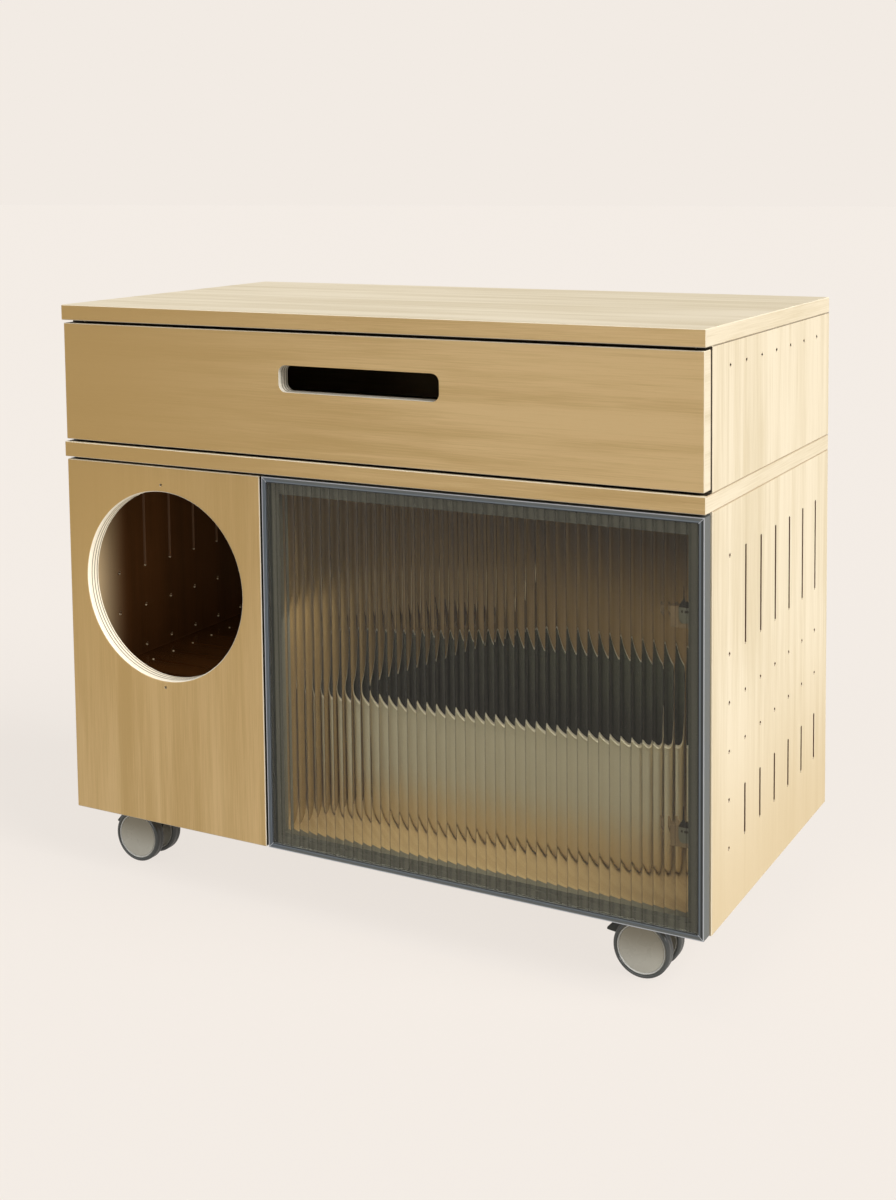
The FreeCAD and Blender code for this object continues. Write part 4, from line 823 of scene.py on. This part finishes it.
def hingeMaterial():
    recipe = Recipe("hingeCover")
    x, _, z = recipe.split(recipe.place())
    low, high = hinge["heights"]
    local = z - low - z.above(hinge["between"], 0.001) * (high - low)     # height over the nearer hinge
    grain = recipe.noise(recipe.stretched(recipe.place(), (700, 700, 700)), 2.0, 0.5)
    dark = local.above(hinge["capFrom"], 0.0002)
    for offset, height in hinge["screws"]:
        across, up = x - (hinge["middle"] + offset), local - height
        spot = (across * across + up * up).math("SQRT").below(hinge["screwRound"], 0.0002)
        dark = dark.math("MAXIMUM", spot)
    shade = tuple(0.8 * c for c in hinge["grey"])
    look = recipe.blend(recipe.ramp(grain, 0.3, 0.7, 0.0, 0.3), hinge["grey"], shade)
    return recipe.finish(color=recipe.blend(dark, look, hinge["dark"]), metallic=0.3, roughness=0.4,
                         normal=recipe.bump(grain, 0.00002))


def buildHingeCovers():
    # each row is a thin lens across X, cut off where the frame covers it; its front bulges by a share of
    # the cover's thickness
    finish = hingeMaterial()
    columns = hinge["columns"]
    across = np.linspace(-1, 1, columns)
    for name, height in zip(("lower", "upper"), hinge["heights"]):
        rows = np.array(hinge["rows"])
        z, half = height + rows[:, 0], rows[:, 1]
        deep = hinge["back"] - hinge["front"]
        front = hinge["front"] + deep * (0.45 * across ** 2)
        points = np.empty((len(rows), 2 * columns, 3))
        reach = np.where(across > 0, np.minimum(half, hinge["rightHalf"])[:, None], half[:, None]) * across
        points[:, :columns, 0] = hinge["middle"] + reach
        points[:, columns:, 0] = hinge["middle"] + reach[:, ::-1]
        points[:, :columns, 1] = front
        points[:, columns:, 1] = hinge["back"]
        points[..., 2] = z[:, None]
        mesh = gridMesh("hingeCover", points, closeAcross=True, capStart=True, capEnd=True)
        addPiece(f"hinge_cover_{name}", mesh, finish, "door", 30.0)


# one material for each finish
frontX = woodMaterial("woodFrontAcross", "light", "x", 1, "front", cutout=fingerSlot, gaps="both")
frontZ = woodMaterial("woodFrontUpright", "light", "z", 2, "front", cutout=entryHole, darkEnd=True, gaps="both")
edgeX = woodMaterial("woodMiddleBoard", "light", "x", 3, "front", joint="joint", gaps="both")
topX = woodMaterial("woodTop", "light", "x", 4, "front", gaps="under")
upperZ = woodMaterial("woodUpperSides", "light", "z", 5, "gap", joint="jointDark")
sideZ = woodMaterial("woodRightSide", "light", "z", 5, joint="joint", bored=True, deepFloor=True)
leftZ = woodMaterial("woodLeftSide", "light", "z", 8, "gap", innerSide=1, joint="joint", bored=True, deepFloor=True)
# painted shade: the entry deck and cleats take the near-black inside tone
insideX = woodMaterial("woodEntryAcross", "inside", "x", 6, rough=0.14)
# painted shade: the bay boards, the drawer box, the bay floor and the divider take darkened copies of the plywood
bayX = woodMaterial("woodBayAcross", "bay", "x", 9, specular=0.3)
floorX = woodMaterial("woodBayFloor", "bayFloor", "x", 12)
dividerZ = woodMaterial("woodDivider", "divider", "z", 10, "gap", specular=0.15)
# painted shade deepening up and to the right on the back board of the bay
backZ = woodMaterial("woodBayBack", "bay", "z", 11, deepBack=True, specular=0.08)
aluminium = frameMaterial()
zinc = metalMaterial("zincSteel", finishes["zinc"], 0.35, "y")
hingeGrey = metalMaterial("hingeNickel", finishes["hinge"], 0.45, "z", 0.35)
plastic = plasticMaterial("casterPlastic", finishes["plastic"], 0.42)
tread = plasticMaterial("treadRubber", finishes["tread"], 0.24, specular=0.8, coat=0.6)
disc = discMaterial()
rubber = tapeMaterial()
glass = glassMaterial()
print("materials ready")

# finishes of the CAD pieces
dressing = {
    "drawer_front": frontX, "mid_panel": edgeX, "entry_panel": frontZ, "top_panel": topX,
    "bottom_panel": floorX, "back_upper": bayX, "back_lower": backZ, "divider_panel": dividerZ,
    "entry_deck": insideX, "deck_cleats": insideX, "drawer_bottom": bayX, "drawer_back": bayX,
    "drawer_side_left": bayX, "drawer_side_right": bayX,
    "side_lower_left": leftZ, "side_lower_right": sideZ, "side_upper_left": upperZ, "side_upper_right": upperZ,
    "runner_cabinet": zinc, "runner_middle": zinc, "runner_drawer": zinc,
    "hinge_arms": hingeGrey, "hinge_cranks": hingeGrey, "hinge_links": hingeGrey, "hinge_cups": hingeGrey,
    "caster_plates": zinc, "caster_screws": zinc, "door_gasket": rubber,
}
families = {"door_frame": aluminium, "fork_": plastic, "brake_": plastic, "axle_": zinc, "tyre_": tread,
            "disc_": disc}


def dress():
    for name, piece in frame["nodes"].items():
        material = dressing.get(name)
        for start, finish in families.items():
            if name.startswith(start):
                material = finish
        if material:
            piece.data.materials.clear()
            piece.data.materials.append(material)


dress()
print("finishes on the CAD pieces")
flutedPane()
print("pane ready")
steelTray()
print("tray ready")
buildWheels()
buildBrakes()
print("casters ready")
buildHingeCovers()
print("hinge covers ready")


def checkOutward():
    # volumes by the divergence theorem: a piece whose faces point inwards has a negative one
    for piece in bpy.data.objects:
        if piece.type != "MESH" or piece.name == "floor" or piece in frame["nodes"].values():
            continue
        mesh = piece.data
        mesh.calc_loop_triangles()
        corners = np.empty(len(mesh.loop_triangles) * 3, dtype=np.int32)
        mesh.loop_triangles.foreach_get("vertices", corners)
        spots = np.empty(len(mesh.vertices) * 3)
        mesh.vertices.foreach_get("co", spots)
        a, b, c = spots.reshape(-1, 3)[corners.reshape(-1, 3)].transpose(1, 0, 2)
        print(piece.name, "volume in cm3", round(float((a * np.cross(b, c)).sum() / 6 * 1e6), 2))


checkOutward()

print("scene ready")
